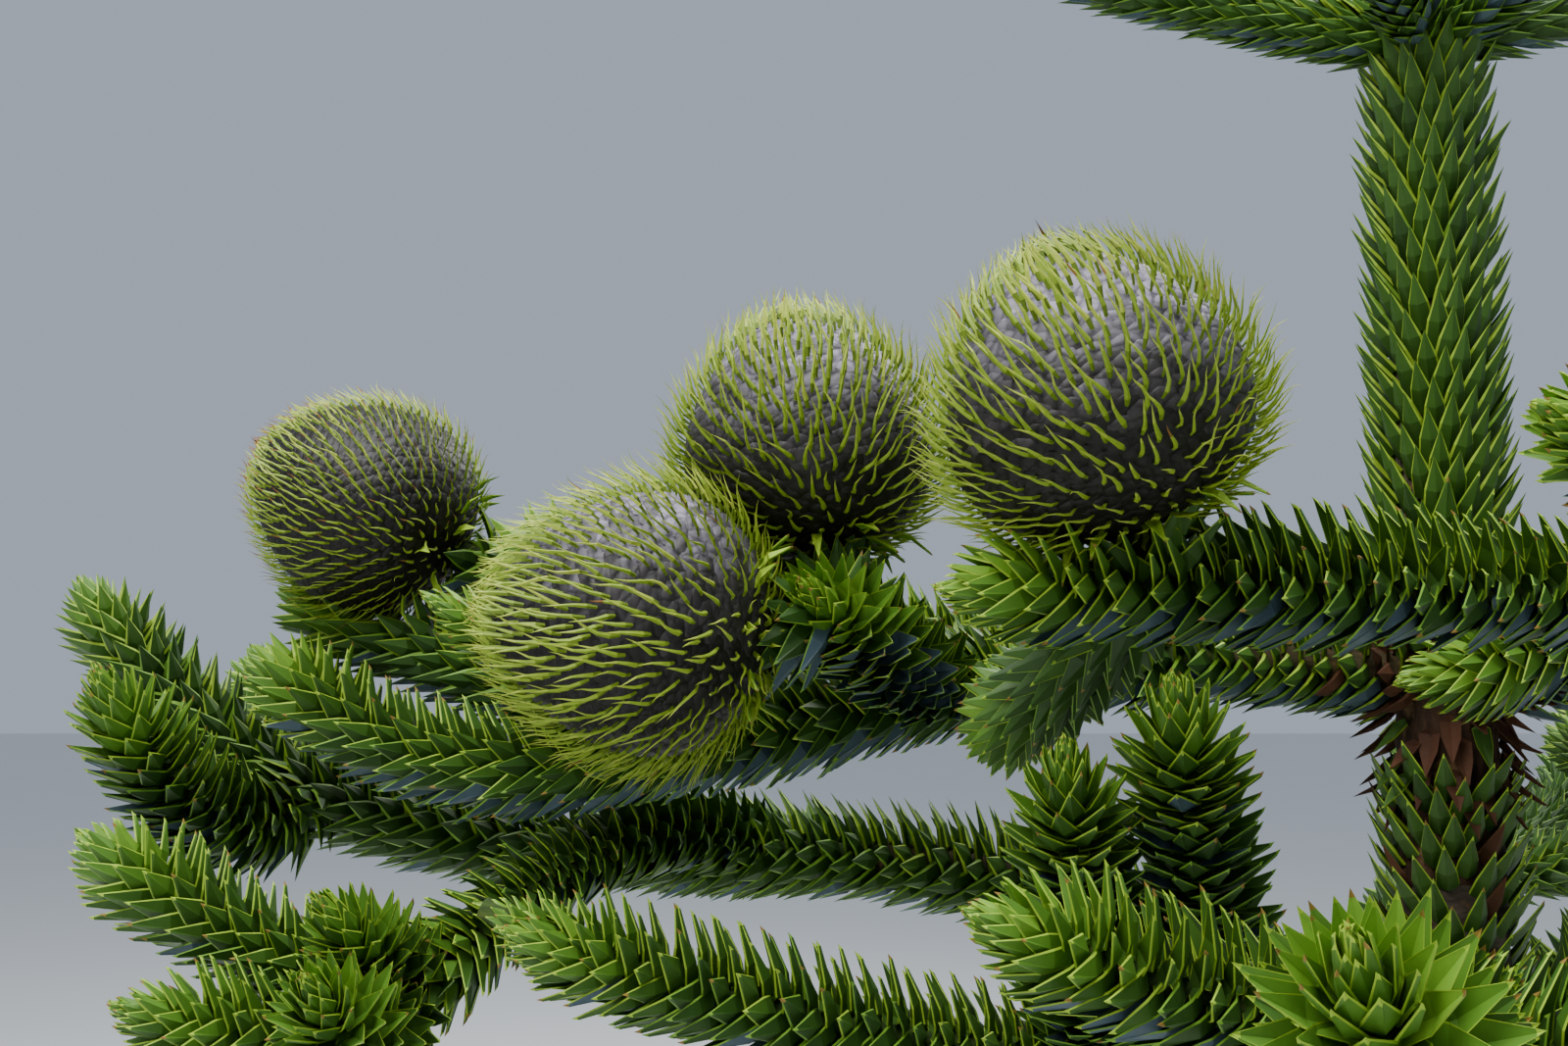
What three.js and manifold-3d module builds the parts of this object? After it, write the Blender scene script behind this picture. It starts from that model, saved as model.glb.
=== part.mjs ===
// A young monkey puzzle tree that bears four cones, as a scene graph of closed solids.
// Millimetres, +Z up. The origin is the centre of the flat cut under the trunk, at ground level.
// Boughs stand in whorls up one straight trunk. Each bough is a bare limb that ends where its foliage starts:
// a stem with side shoots, all clad in stiff pointed leaves. The leaves here are fewer and larger than life.

import * as THREE from "three";
import { mergeVertices } from "three/addons/utils/BufferGeometryUtils.js";
import Module from "manifold-3d";

const wasm = await Module();
wasm.setup();

// The trunk.
const HEIGHT = 2750;
const LEAN = 14;
const TRUNK_SIDES = 10;
// Height and radius up the trunk: flare, butt, bole, and leader to its bud.
const TRUNK_PROFILE = [
  [0, 88],
  [40, 72],
  [120, 60],
  [330, 53],
  [1180, 40],
  [1530, 33],
  [1977, 25],
  [2380, 18],
  [HEIGHT - 30, 9],
];
const FLARE_HEIGHT = 120;
const FLARE_LOBES = 5;
const FLARE_DEPTH = 0.14;

// The gap that keeps neighbouring solids apart where they meet.
const GAP = 0.3;
const CLEARANCE = 0.8;

// Limbs and shoots: radii at the root and at the tip.
const LIMB = { root: 17, tip: 13, sides: 5, rings: 2 };
const STEM = { root: 13, tip: 7, sides: 3, rings: 4 };
const SHOOT = { root: 7, tip: 6, sides: 3, rings: 2 };

// Leaves, larger than life, set round their shoot by the golden angle.
const GOLDEN_ANGLE = THREE.MathUtils.degToRad(137.508);
const LEAF = { length: 96, width: 42, thickness: 8, pitch: 30, spacing: 191, widest: 0 };
const TRUNK_LEAF = { length: 96, width: 50, thickness: 9, pitch: 33, spacing: 62, widest: -0.12, from: 1260 };
const TIP_LEAVES = 2;
const TIP_PITCH = 12;

// Each whorl: height on the trunk, reach of its boughs, the heights above that of their shoulder, belly and
// tip, the share of a bough that is bare limb, and the headings of the boughs in degrees from +X towards +Y.
const WHORLS = [
  { height: 330, reach: 1080, lifts: [40, -120, 10], limb: 0.34, headings: [12, 84, 156, 228, 300] },
  { height: 750, reach: 1120, lifts: [190, -20, 200], limb: 0.34, headings: [48, 120, 192, 262, 336] },
  { height: 1190, reach: 1000, lifts: [330, 60, 330], limb: 0.36, headings: [165, 250, 322, 34, 100] },
  { height: 1530, reach: 830, lifts: [60, -60, 90], limb: 0.34, headings: [180, 280, 350, 52, 118] },
  { height: 1977, reach: 440, lifts: [30, 50, 200], limb: 0, headings: [177, 235, 293, 351, 64] },
  { height: 2380, reach: 220, lifts: [50, 90, 190], limb: 0, headings: [20, 110, 200, 290] },
];

// Side shoots of a bough that grows by the plain rule: pairs at these shares of its length, each this share
// of the bough's reach long, swept forward and lifted at the tip.
const PAIRS = [
  { at: 0.44, length: 0.4 },
  { at: 0.68, length: 0.3 },
];
const SWEEP = 58;
const SWEEP_SPREAD = 9;
const SHOOT_LIFT = 0.24;
const SHOOT_SAG = 12;

// The boughs that have their own bends and side shoots, most of them on the side where the cones are.
// Points are places in the tree's frame. A side shoot grows on the stem or on an earlier side shoot, at a share
// of its length.
const SET_BOUGHS = {
  "4a": {
    limb: 0.18,
    bends: [[-380, -10, 1610], [-580, -60, 1360], [-792, -6, 1546]],
    shoots: [
      { name: "rear", at: 0.36, tip: [-450, 190, 1570], sag: 10 },
      { name: "bud", at: 0.42, tip: [-430, -190, 1585], sag: 10 },
      { name: "far", at: 0.6, tip: [-790, 58, 1590], sag: 14 },
      { name: "mid", at: 0.58, tip: [-662, -86, 1584], sag: 14 },
      { name: "back", at: 0.56, tip: [-652, 46, 1615], sag: -52 },
    ],
  },
  "4b": {
    limb: 0.18,
    bends: [[36, -150, 1580], [86, -400, 1604], [120, -640, 1660]],
    shoots: [
      { name: "inner", at: 0.22, tip: [-62, -118, 1536], sag: 8 },
      { name: "left", at: 0.36, tip: [-352, -284, 1584], sag: 0 },
      { name: "right", at: 0.42, tip: [370, -300, 1620], sag: 16 },
      { name: "edge", at: 0.6, tip: [-156, -478, 1640], sag: 20 },
      { name: "outer", at: 0.66, tip: [330, -540, 1650], sag: 16 },
      { name: "net", on: "left", at: 0.78, tip: [-318, -100, 1493], sag: 0 },
    ],
  },
  "3a": {
    limb: 0.42,
    bends: [[-265, 205, 1590], [-690, -18, 1236], [-955, 78, 1597]],
    shoots: [
      { name: "rear", at: 0.46, tip: [-620, 360, 1375], sag: 12 },
      { name: "low", at: 0.5, tip: [-672, -110, 1335], sag: -95 },
      { name: "twin", at: 0.79, tip: [-872, -72, 1530], sag: 100 },
      { name: "hind", at: 0.7, tip: [-900, 260, 1540], sag: 20 },
      { name: "wing", on: "low", at: 0.95, tip: [-865, -96, 1436], sag: 30 },
      { name: "nose", on: "low", at: 0.93, tip: [-704, -160, 1408], sag: 12 },
      { name: "chin", on: "low", at: 0.98, tip: [-694, -214, 1374], sag: 40 },
      { name: "sole", on: "low", at: 0.97, tip: [-809, -168, 1353], sag: 30 },
    ],
  },
  "3b": {
    limb: 0.26,
    bends: [[-40, -120, 1430], [-232, -518, 1342], [-275, -580, 1461]],
    shoots: [
      { name: "long", at: 0.3, tip: [-582, -225, 1404], sag: 60 },
      { name: "right", at: 0.45, tip: [150, -430, 1440], sag: 16 },
      { name: "left", at: 0.62, tip: [-358, -388, 1440], sag: 14 },
      { name: "horn", on: "long", at: 0.26, tip: [-257, -306, 1531], sag: 20 },
      { name: "spur", on: "long", at: 0.4, tip: [-306, -286, 1500], sag: 20 },
      { name: "outer", at: 0.7, tip: [20, -600, 1440], sag: 16 },
      { name: "gem", on: "long", at: 0.9, tip: [-606, -205, 1416], sag: 4 },
    ],
  },
  "3e": {
    limb: 0.36,
    bends: [[-35, 270, 1460], [420, 620, 1220], [560, 880, 1500]],
    shoots: [
      { name: "near", at: 0.44, tip: [620, 400, 1420], sag: 14 },
      { name: "far", at: 0.5, tip: [360, 920, 1440], sag: 14 },
      { name: "outer", at: 0.68, tip: [700, 620, 1460], sag: 14 },
    ],
  },
};

// The cones: the bough and shoot that carry each, at a share of that shoot's length, then the cone's centre,
// its axis towards the apex, its radius across and its half height.
const CONES = [
  {
    name: "cone_1",
    bough: "4a",
    shoot: "back",
    at: 0.97,
    centre: [-742, 34, 1658],
    axis: [-0.8, 0, 0.45],
    across: 72,
    half: 78,
  },
  {
    name: "cone_2",
    bough: "4a",
    shoot: "bud",
    at: 0.88,
    centre: [-531, -168, 1570],
    axis: [-1, -0.05, 0.1],
    across: 73,
    half: 79,
  },
  {
    name: "cone_3",
    bough: "4a",
    shoot: "bud",
    at: 0.77,
    centre: [-430, -99, 1685],
    axis: [-0.12, 0.1, 1],
    across: 75,
    half: 77,
  },
  {
    name: "cone_4",
    bough: "4b",
    shoot: "left",
    at: 0.76,
    centre: [-287, -268, 1683],
    axis: [-0.36, -0.1, 1],
    across: 76,
    half: 74,
  },
];
const CONE_SIDES = 10;
const CONE_ROWS = 7;
// How much wider a cone is towards its foot than towards its apex.
const CONE_EGG = 0.2;
// Where a cone is cut flat at its foot, as a share of its half height, and the radius of that flat.
const CONE_FOOT = { share: 0.97, radius: 17 };
const STALK = { radius: 12, sides: 6, rings: 2, bend: 14 };
const SPINE = { length: 34, radius: 6, sides: 3, count: 12, sunk: 10, lean: 0.55 };

// Materials.
const MATERIALS = {
  bark: new THREE.MeshStandardMaterial({ color: 0x6a5a48, roughness: 0.9, metalness: 0 }),
  limb: new THREE.MeshStandardMaterial({ color: 0x4e6a2c, roughness: 0.75, metalness: 0 }),
  foliage: new THREE.MeshStandardMaterial({ color: 0x3f7a24, roughness: 0.55, metalness: 0 }),
  cone: new THREE.MeshStandardMaterial({ color: 0x5d5448, roughness: 0.7, metalness: 0 }),
};

const UP = new THREE.Vector3(0, 0, 1);
const vector = (place) => new THREE.Vector3(...place);
const mix = THREE.MathUtils.lerp;

// A repeatable stream of numbers from 0 to 1.
function seeded(seed) {
  let state = seed;
  return () => {
    state = (state * 16807) % 2147483647;
    return state / 2147483647;
  };
}

// Solids

// A three.js geometry as a solid.
function solidOf(geometry) {
  const bare = geometry.clone();
  bare.deleteAttribute("normal");
  bare.deleteAttribute("uv");
  const merged = mergeVertices(bare, 1e-3);
  return new wasm.Manifold(
    new wasm.Mesh({
      numProp: 3,
      vertProperties: new Float32Array(merged.attributes.position.array),
      triVerts: new Uint32Array(merged.index.array),
    }),
  );
}

// A solid as a three.js geometry.
function geometryOf(solid) {
  const mesh = solid.getMesh();
  return new THREE.BufferGeometry()
    .setAttribute("position", new THREE.BufferAttribute(mesh.vertProperties, 3))
    .setIndex(new THREE.BufferAttribute(mesh.triVerts, 1))
    .toNonIndexed();
}

// Several solids fused in one, with any hollow that this seals filled and any loose scrap dropped.
function fused(parts) {
  return wasm.Manifold.union(parts)
    .decompose()
    .reduce((most, piece) => (piece.volume() > most.volume() ? piece : most));
}

// The direction across a curve that its rings are turned by, level where the curve isn't upright.
function crossOf(curve) {
  const along = curve.getPoint(1).sub(curve.getPoint(0)).normalize();
  const level = new THREE.Vector3().crossVectors(along, UP);
  return level.length() > 0.2 ? level.normalize() : new THREE.Vector3(1, 0, 0);
}

// Place, tangent and two directions across, at a share of a curve's length.
function frameAt(curve, share) {
  const along = curve.getTangentAt(share);
  const side = crossOf(curve).addScaledVector(along, -crossOf(curve).dot(along)).normalize();
  const other = new THREE.Vector3().crossVectors(along, side);
  return { place: curve.getPointAt(share), along, side, other };
}

// A tapered limb along a curve, from one share of its length to another.
function taperedLimb(curve, from, to, size) {
  const tube = new THREE.CylinderGeometry(1, 1, 1, size.sides, size.rings);
  const points = tube.attributes.position;
  for (let i = 0; i < points.count; i++) {
    const share = points.getY(i) + 0.5;
    const { place, side, other } = frameAt(curve, mix(from, to, share));
    const radius = mix(size.root, size.tip, share);
    place.addScaledVector(side, points.getX(i) * radius).addScaledVector(other, -points.getZ(i) * radius);
    points.setXYZ(i, place.x, place.y, place.z);
  }
  return solidOf(tube);
}

// A leaf of six faces from root to tip: two edges and a keel, widest nearer its root, flat on its inner side.
function leafSolid(leaf, frame, angle, pitch) {
  const blade = new THREE.SphereGeometry(1, 3, 2);
  const points = blade.attributes.position;
  for (let i = 0; i < points.count; i++) {
    const turn = Math.atan2(points.getZ(i), points.getX(i)) + Math.PI / 6;
    const pole = Math.abs(points.getY(i)) > 0.5;
    const lengthwise = pole ? Math.sign(points.getY(i)) : leaf.widest;
    const girth = pole ? 0 : 1;
    points.setXYZ(
      i,
      (girth * Math.cos(turn) * leaf.width) / Math.sqrt(3),
      (lengthwise * leaf.length) / 2,
      (girth * Math.sin(turn) * leaf.thickness) / 1.5,
    );
  }
  const outward = frame.side
    .clone()
    .multiplyScalar(Math.cos(angle))
    .addScaledVector(frame.other, Math.sin(angle));
  const lean = THREE.MathUtils.degToRad(pitch);
  const lengthwise = frame.along
    .clone()
    .multiplyScalar(Math.cos(lean))
    .addScaledVector(outward, Math.sin(lean));
  const across = new THREE.Vector3().crossVectors(lengthwise, outward).normalize();
  const through = new THREE.Vector3().crossVectors(across, lengthwise);
  const middle = frame.place.clone().addScaledVector(lengthwise, leaf.length / 2);
  blade.applyMatrix4(new THREE.Matrix4().makeBasis(across, lengthwise, through).setPosition(middle));
  return solidOf(blade);
}

// The trunk

// The trunk's axis at a height.
function axisAt(height) {
  return new THREE.Vector3(LEAN * (height / HEIGHT) ** 2, 0, height);
}

// The trunk turned from its profile, with the flare's lobes at its foot, and grown by a gap on request.
function trunkCore(grown = 0) {
  const profile = [new THREE.Vector2(0, 0)];
  for (const [height, radius] of TRUNK_PROFILE) profile.push(new THREE.Vector2(radius + grown, height));
  profile.push(new THREE.Vector2(0, HEIGHT - 20));
  const turned = new THREE.LatheGeometry(profile, TRUNK_SIDES).rotateX(Math.PI / 2);
  const points = turned.attributes.position;
  for (let i = 0; i < points.count; i++) {
    const height = points.getZ(i);
    const low = Math.max(0, 1 - height / FLARE_HEIGHT);
    const lobe = 1 + FLARE_DEPTH * low * Math.sin(FLARE_LOBES * Math.atan2(points.getY(i), points.getX(i)));
    points.setXYZ(i, points.getX(i) * lobe + axisAt(height).x, points.getY(i) * lobe, height);
  }
  return solidOf(turned);
}

// Boughs and shoots

// A bough's curve, from the trunk's axis out to its tip.
function boughCurve(whorl, heading, set) {
  const root = axisAt(whorl.height);
  if (set) return new THREE.CubicBezierCurve3(root, ...set.bends.map(vector));
  const turn = THREE.MathUtils.degToRad(heading);
  const out = new THREE.Vector3(Math.cos(turn), Math.sin(turn), 0);
  const at = (share, lift) =>
    root.clone().addScaledVector(out, share * whorl.reach).addScaledVector(UP, lift);
  return new THREE.CubicBezierCurve3(
    root,
    at(0.33, whorl.lifts[0]),
    at(0.7, whorl.lifts[1]),
    at(1, whorl.lifts[2]),
  );
}

// A side shoot's curve, from a point inside its parent to its tip, sagging on the way.
function shootCurve(parent, at, tip, sag) {
  const root = parent.getPointAt(at);
  const bend = root.clone().lerp(tip, 0.5).addScaledVector(UP, -sag);
  return new THREE.QuadraticBezierCurve3(root, bend, tip);
}

// The side shoots of a bough that grows by the plain rule.
function ruledShoots(curve, whorl, random) {
  const made = [];
  for (const pair of PAIRS)
    for (const hand of [-1, 1]) {
      const at = pair.at + (random() - 0.5) * 0.06;
      const turn = THREE.MathUtils.degToRad(hand * (SWEEP + (random() - 0.5) * 2 * SWEEP_SPREAD));
      const length = pair.length * whorl.reach * (0.9 + 0.2 * random());
      const along = curve.getTangentAt(at).setZ(0).normalize().applyAxisAngle(UP, turn);
      const tip = curve.getPointAt(at).addScaledVector(along, length);
      tip.z += length * SHOOT_LIFT;
      made.push(shootCurve(curve, at, tip, SHOOT_SAG));
    }
  return made;
}

// The stem and side shoots of a bough that has its own list, by name.
function listedShoots(curve, shoots) {
  const byName = { stem: curve };
  for (const shoot of shoots)
    byName[shoot.name] = shootCurve(byName[shoot.on ?? "stem"], shoot.at, vector(shoot.tip), shoot.sag);
  return byName;
}

// A cone

// Frame with its third direction along the cone's axis.
function coneBasis(cone) {
  const axis = vector(cone.axis).normalize();
  return new THREE.Matrix4()
    .makeRotationFromQuaternion(new THREE.Quaternion().setFromUnitVectors(UP, axis))
    .setPosition(vector(cone.centre));
}

// The height of the flat of a cone's foot along its axis from its centre.
const footOf = (cone) => -cone.half * CONE_FOOT.share;

// A cone's radius where its middle line has turned this far from foot to apex.
const girthOf = (cone, turn) => cone.across * Math.sin(turn) * (1 + CONE_EGG * Math.cos(turn));

// An egg, flat at its foot, with spines that sweep towards its apex.
function coneSolid(cone) {
  const profile = [new THREE.Vector2(0, footOf(cone)), new THREE.Vector2(CONE_FOOT.radius, footOf(cone))];
  for (let row = 1; row < CONE_ROWS; row++) {
    const turn = Math.PI * (row / CONE_ROWS);
    profile.push(new THREE.Vector2(girthOf(cone, turn), -cone.half * Math.cos(turn)));
  }
  profile.push(new THREE.Vector2(0, cone.half));
  const parts = [solidOf(new THREE.LatheGeometry(profile, CONE_SIDES).rotateX(Math.PI / 2))];
  for (let i = 0; i < SPINE.count; i++) {
    const rise = mix(-0.7, 0.85, (i + 0.5) / SPINE.count);
    const level = Math.sqrt(1 - rise * rise);
    const turn = i * GOLDEN_ANGLE;
    const outward = new THREE.Vector3(level * Math.cos(turn), level * Math.sin(turn), rise);
    const girth = girthOf(cone, Math.acos(-rise));
    const root = new THREE.Vector3(girth * Math.cos(turn), girth * Math.sin(turn), cone.half * rise);
    const sweep = outward.clone().addScaledVector(UP, SPINE.lean).normalize();
    const spine = new THREE.ConeGeometry(SPINE.radius, SPINE.length, SPINE.sides)
      .translate(0, SPINE.length / 2 - SPINE.sunk, 0)
      .applyQuaternion(new THREE.Quaternion().setFromUnitVectors(new THREE.Vector3(0, 1, 0), sweep))
      .translate(root.x, root.y, root.z);
    parts.push(solidOf(spine));
  }
  return wasm.Manifold.union(parts).transform(coneBasis(cone).elements);
}

// The short stalk from inside a shoot to just under a cone's foot.
function coneStalk(cone, shoot) {
  const basis = coneBasis(cone);
  const foot = new THREE.Vector3(0, 0, footOf(cone) - GAP).applyMatrix4(basis);
  const bend = new THREE.Vector3(0, 0, footOf(cone) - STALK.bend).applyMatrix4(basis);
  const curve = new THREE.QuadraticBezierCurve3(shoot.getPointAt(cone.at), bend, foot);
  return taperedLimb(curve, 0, 1, { root: STALK.radius, tip: STALK.radius, ...STALK });
}

// The tree

// Every node: its name, its material, its solids so far, and the stretches of curve that leaves clothe.
const nodes = [];

// Adds a node.
function addNode(name, material, parts, stretches) {
  nodes.push({ name, material, parts, stretches });
}

const trunkGrown = trunkCore(GAP);
addNode("trunk", "bark", [trunkCore()], []);
for (const cone of CONES) addNode(cone.name, "cone", [coneSolid(cone)], []);

// A bough's limb, and the mass that its stem and side shoots make.
function addBough(key, whorl, heading, random) {
  const set = SET_BOUGHS[key];
  const curve = boughCurve(whorl, heading, set);
  const bare = set ? set.limb : whorl.limb;
  const stemStart = bare > 0 ? bare + GAP / curve.getLength() : 0;
  const stem = taperedLimb(curve, stemStart, 1, STEM);
  const parts = [bare > 0 ? stem : stem.subtract(trunkGrown)];
  const stretches = [{ curve, from: stemStart, to: 1, tip: true }];
  const named = set ? listedShoots(curve, set.shoots) : {};
  const shoots = set ? Object.values(named).slice(1) : bare > 0 ? ruledShoots(curve, whorl, random) : [];
  for (const shoot of shoots) {
    parts.push(taperedLimb(shoot, 0, 1, SHOOT));
    stretches.push({ curve: shoot, from: 0.06, to: 1, tip: true });
  }
  for (const cone of CONES) if (cone.bough === key) parts.push(coneStalk(cone, named[cone.shoot]));
  if (bare > 0)
    addNode(`bough_${key}`, "limb", [taperedLimb(curve, 0, bare, LIMB).subtract(trunkGrown)], [
      { curve, from: 0.02, to: bare, tip: false },
    ]);
  addNode(`foliage_${key}`, "foliage", parts, stretches);
}

WHORLS.forEach((whorl, w) =>
  whorl.headings.forEach((heading, b) =>
    addBough(`${w + 1}${"abcde"[b]}`, whorl, heading, seeded(1000 * (w + 1) + 37 * (b + 1))),
  ),
);

// Leaves

// Whether a leaf is clear of every other node.
function isClear(leaf, owner) {
  const box = leaf.boundingBox();
  return nodes.every(
    (node) =>
      node === owner ||
      node.parts.every((part) => {
        const other = part.boundingBox();
        const apart = [0, 1, 2].some(
          (k) => box.min[k] > other.max[k] + CLEARANCE || other.min[k] > box.max[k] + CLEARANCE,
        );
        return apart || leaf.minGap(part, CLEARANCE) >= CLEARANCE;
      }),
  );
}

// Adds a leaf to its node unless it would touch another node.
function addLeaf(owner, leaf) {
  if (isClear(leaf, owner)) owner.parts.push(leaf);
}

// Leaves all along a shoot, with a tuft at its tip.
function cladShoot(owner, { curve, from, to, tip }) {
  const length = curve.getLength();
  const end = tip ? to - 0.45 * (LEAF.length / length) : to;
  const count = Math.max(1, Math.round(((end - from) * length) / LEAF.spacing));
  for (let i = 0; i < count; i++) {
    const frame = frameAt(curve, mix(from, end, (i + 0.5) / count));
    addLeaf(owner, leafSolid(LEAF, frame, i * GOLDEN_ANGLE, LEAF.pitch));
  }
  if (!tip) return;
  const bud = frameAt(curve, Math.max(from, to - (0.72 * LEAF.length) / length));
  for (let i = 0; i < TIP_LEAVES; i++)
    addLeaf(owner, leafSolid(LEAF, bud, (i / TIP_LEAVES) * 2 * Math.PI, TIP_PITCH));
}

for (const node of nodes) for (const stretch of node.stretches) cladShoot(node, stretch);

// Leaves up the trunk from where its bark is still clad, in the same order as on a shoot.
const trunk = nodes[0];
const upright = { along: UP, side: new THREE.Vector3(1, 0, 0), other: new THREE.Vector3(0, 1, 0) };
for (let height = TRUNK_LEAF.from, i = 0; height < HEIGHT - 50; height += TRUNK_LEAF.spacing, i++) {
  const frame = { place: axisAt(height), ...upright };
  addLeaf(trunk, leafSolid(TRUNK_LEAF, frame, i * GOLDEN_ANGLE, TRUNK_LEAF.pitch));
}

const tree = new THREE.Group();
for (const { name, material, parts } of nodes) {
  const mesh = new THREE.Mesh(geometryOf(fused(parts)), MATERIALS[material]);
  mesh.name = name;
  tree.add(mesh);
}

export default tree;
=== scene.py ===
"""A young monkey puzzle tree that bears four cones: bark, shoots, leaves, scales and awns.

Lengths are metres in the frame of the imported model, +Z up, with the origin at the foot of the trunk. The
skeleton of trunk, boughs and shoots follows the same rule as the solids. The leaves stand on it in the same
golden-angle order, carried on to their real size and number.
"""
import logging
import math
from dataclasses import dataclass, field
from enum import Enum, IntEnum

import bpy
import numpy as np
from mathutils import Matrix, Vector


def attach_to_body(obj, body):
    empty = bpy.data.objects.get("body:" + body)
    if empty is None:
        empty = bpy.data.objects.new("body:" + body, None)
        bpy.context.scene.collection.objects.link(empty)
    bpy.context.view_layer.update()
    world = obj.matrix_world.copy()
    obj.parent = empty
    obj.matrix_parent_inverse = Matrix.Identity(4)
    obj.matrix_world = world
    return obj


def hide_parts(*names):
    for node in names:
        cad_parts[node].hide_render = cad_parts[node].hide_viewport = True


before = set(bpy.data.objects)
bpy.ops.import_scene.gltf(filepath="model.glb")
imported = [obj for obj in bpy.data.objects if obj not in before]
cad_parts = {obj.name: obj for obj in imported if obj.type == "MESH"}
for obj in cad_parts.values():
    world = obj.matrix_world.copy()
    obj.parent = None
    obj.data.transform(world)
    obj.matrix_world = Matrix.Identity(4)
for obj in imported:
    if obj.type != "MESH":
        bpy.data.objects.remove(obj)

LOG = logging.getLogger("tree")
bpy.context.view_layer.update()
BODY = "root"
EAST = np.array([1.0, 0.0, 0.0])
NORTH = np.array([0.0, 1.0, 0.0])
UP = np.array([0.0, 0.0, 1.0])
GOLDEN_ANGLE = math.radians(137.508)

Array = np.ndarray
Point = tuple[float, float, float]
Materials = list[bpy.types.Material]
Skin = tuple[Array, list[Array], list[Array]]


def linear(red: float, green: float, blue: float) -> tuple[float, float, float, float]:
    """The shader's linear colour, with alpha 1, for a colour as seen on a screen."""
    return (*(((v + 0.055) / 1.055) ** 2.4 if v > 0.04045 else v / 12.92 for v in (red, green, blue)), 1.0)


def dimmed(colour: Point, share: float) -> Point:
    """A colour with this share of its brightness."""
    return tuple(share * v for v in colour)


def smooth(low: float, high: float, value: Array) -> Array:
    """Rises smoothly from 0 to 1 as the value goes from low to high."""
    share = np.clip((value - low) / (high - low), 0.0, 1.0)
    return share * share * (3.0 - 2.0 * share)


def unit(vectors: Array) -> Array:
    """Vectors scaled to length 1."""
    return vectors / np.linalg.norm(vectors, axis=-1, keepdims=True)


def around(first: Array, second: Array, turns: Array) -> Array:
    """Directions at these turns from the first direction towards the second, which is square to it."""
    return first * np.cos(turns)[..., None] + second * np.sin(turns)[..., None]


def joined_rings(size: int, count: int, start: int = 0) -> tuple[Array, Array]:
    """Joins rings of points, one after another, into a skin that ends in a tip.

    Args:
        size: How many points each ring has.
        count: How many rings there are.
        start: The number of the first ring's first point.

    Returns:
        The four-cornered faces between the rings, and the fan from the last ring to the point after it.
    """
    corner = np.arange(size)
    after = (corner + 1) % size
    lows = start + size * np.arange(count)
    sides = [(low + corner, low + after, low + size + after, low + size + corner) for low in lows[:-1]]
    fan = np.stack([np.full(size, lows[-1] + size), lows[-1] + corner, lows[-1] + after], axis=1)
    return np.concatenate([np.stack(side, axis=1) for side in sides]), fan


def copied(count: int, points: int, *blocks: Array) -> list[Array]:
    """The faces of many copies of one small shape.

    Args:
        count: How many copies there are.
        points: How many points the shape has.
        blocks: Its blocks of faces.

    Returns:
        The same blocks, each with the faces of all the copies.
    """
    first = (np.arange(count) * points)[:, None, None]
    return [(first + faces).reshape(-1, faces.shape[1]) for faces in blocks]


class Wave:
    """A socket of a shader tree, with Python's arithmetic."""

    def __init__(self, graph: "Graph", socket: bpy.types.NodeSocket) -> None:
        """Wraps an output socket that gives a number."""
        self.graph = graph
        self.socket = socket

    def _math(self, operation: str, *values: "Wave | float", clamp: bool = False) -> "Wave":
        """Adds a Math node.

        Args:
            operation: What it works out.
            values: What it works on.
            clamp: Whether the result is held between 0 and 1.

        Returns:
            The result.
        """
        settings = {"operation": operation, "use_clamp": clamp}
        node = self.graph.node("ShaderNodeMath", settings, dict(enumerate(values)))
        return Wave(self.graph, node.outputs[0])

    def __add__(self, other: "Wave | float") -> "Wave":
        """This plus the other."""
        return self._math("ADD", self, other)

    def __radd__(self, other: float) -> "Wave":
        """The other plus this."""
        return self._math("ADD", other, self)

    def __sub__(self, other: "Wave | float") -> "Wave":
        """This less the other."""
        return self._math("SUBTRACT", self, other)

    def __rsub__(self, other: float) -> "Wave":
        """The other less this."""
        return self._math("SUBTRACT", other, self)

    def __mul__(self, other: "Wave | float") -> "Wave":
        """This times the other."""
        return self._math("MULTIPLY", self, other)

    def __rmul__(self, other: float) -> "Wave":
        """The other times this."""
        return self._math("MULTIPLY", other, self)

    def clamped(self) -> "Wave":
        """This held between 0 and 1."""
        return self._math("ADD", self, 0.0, clamp=True)


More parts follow.
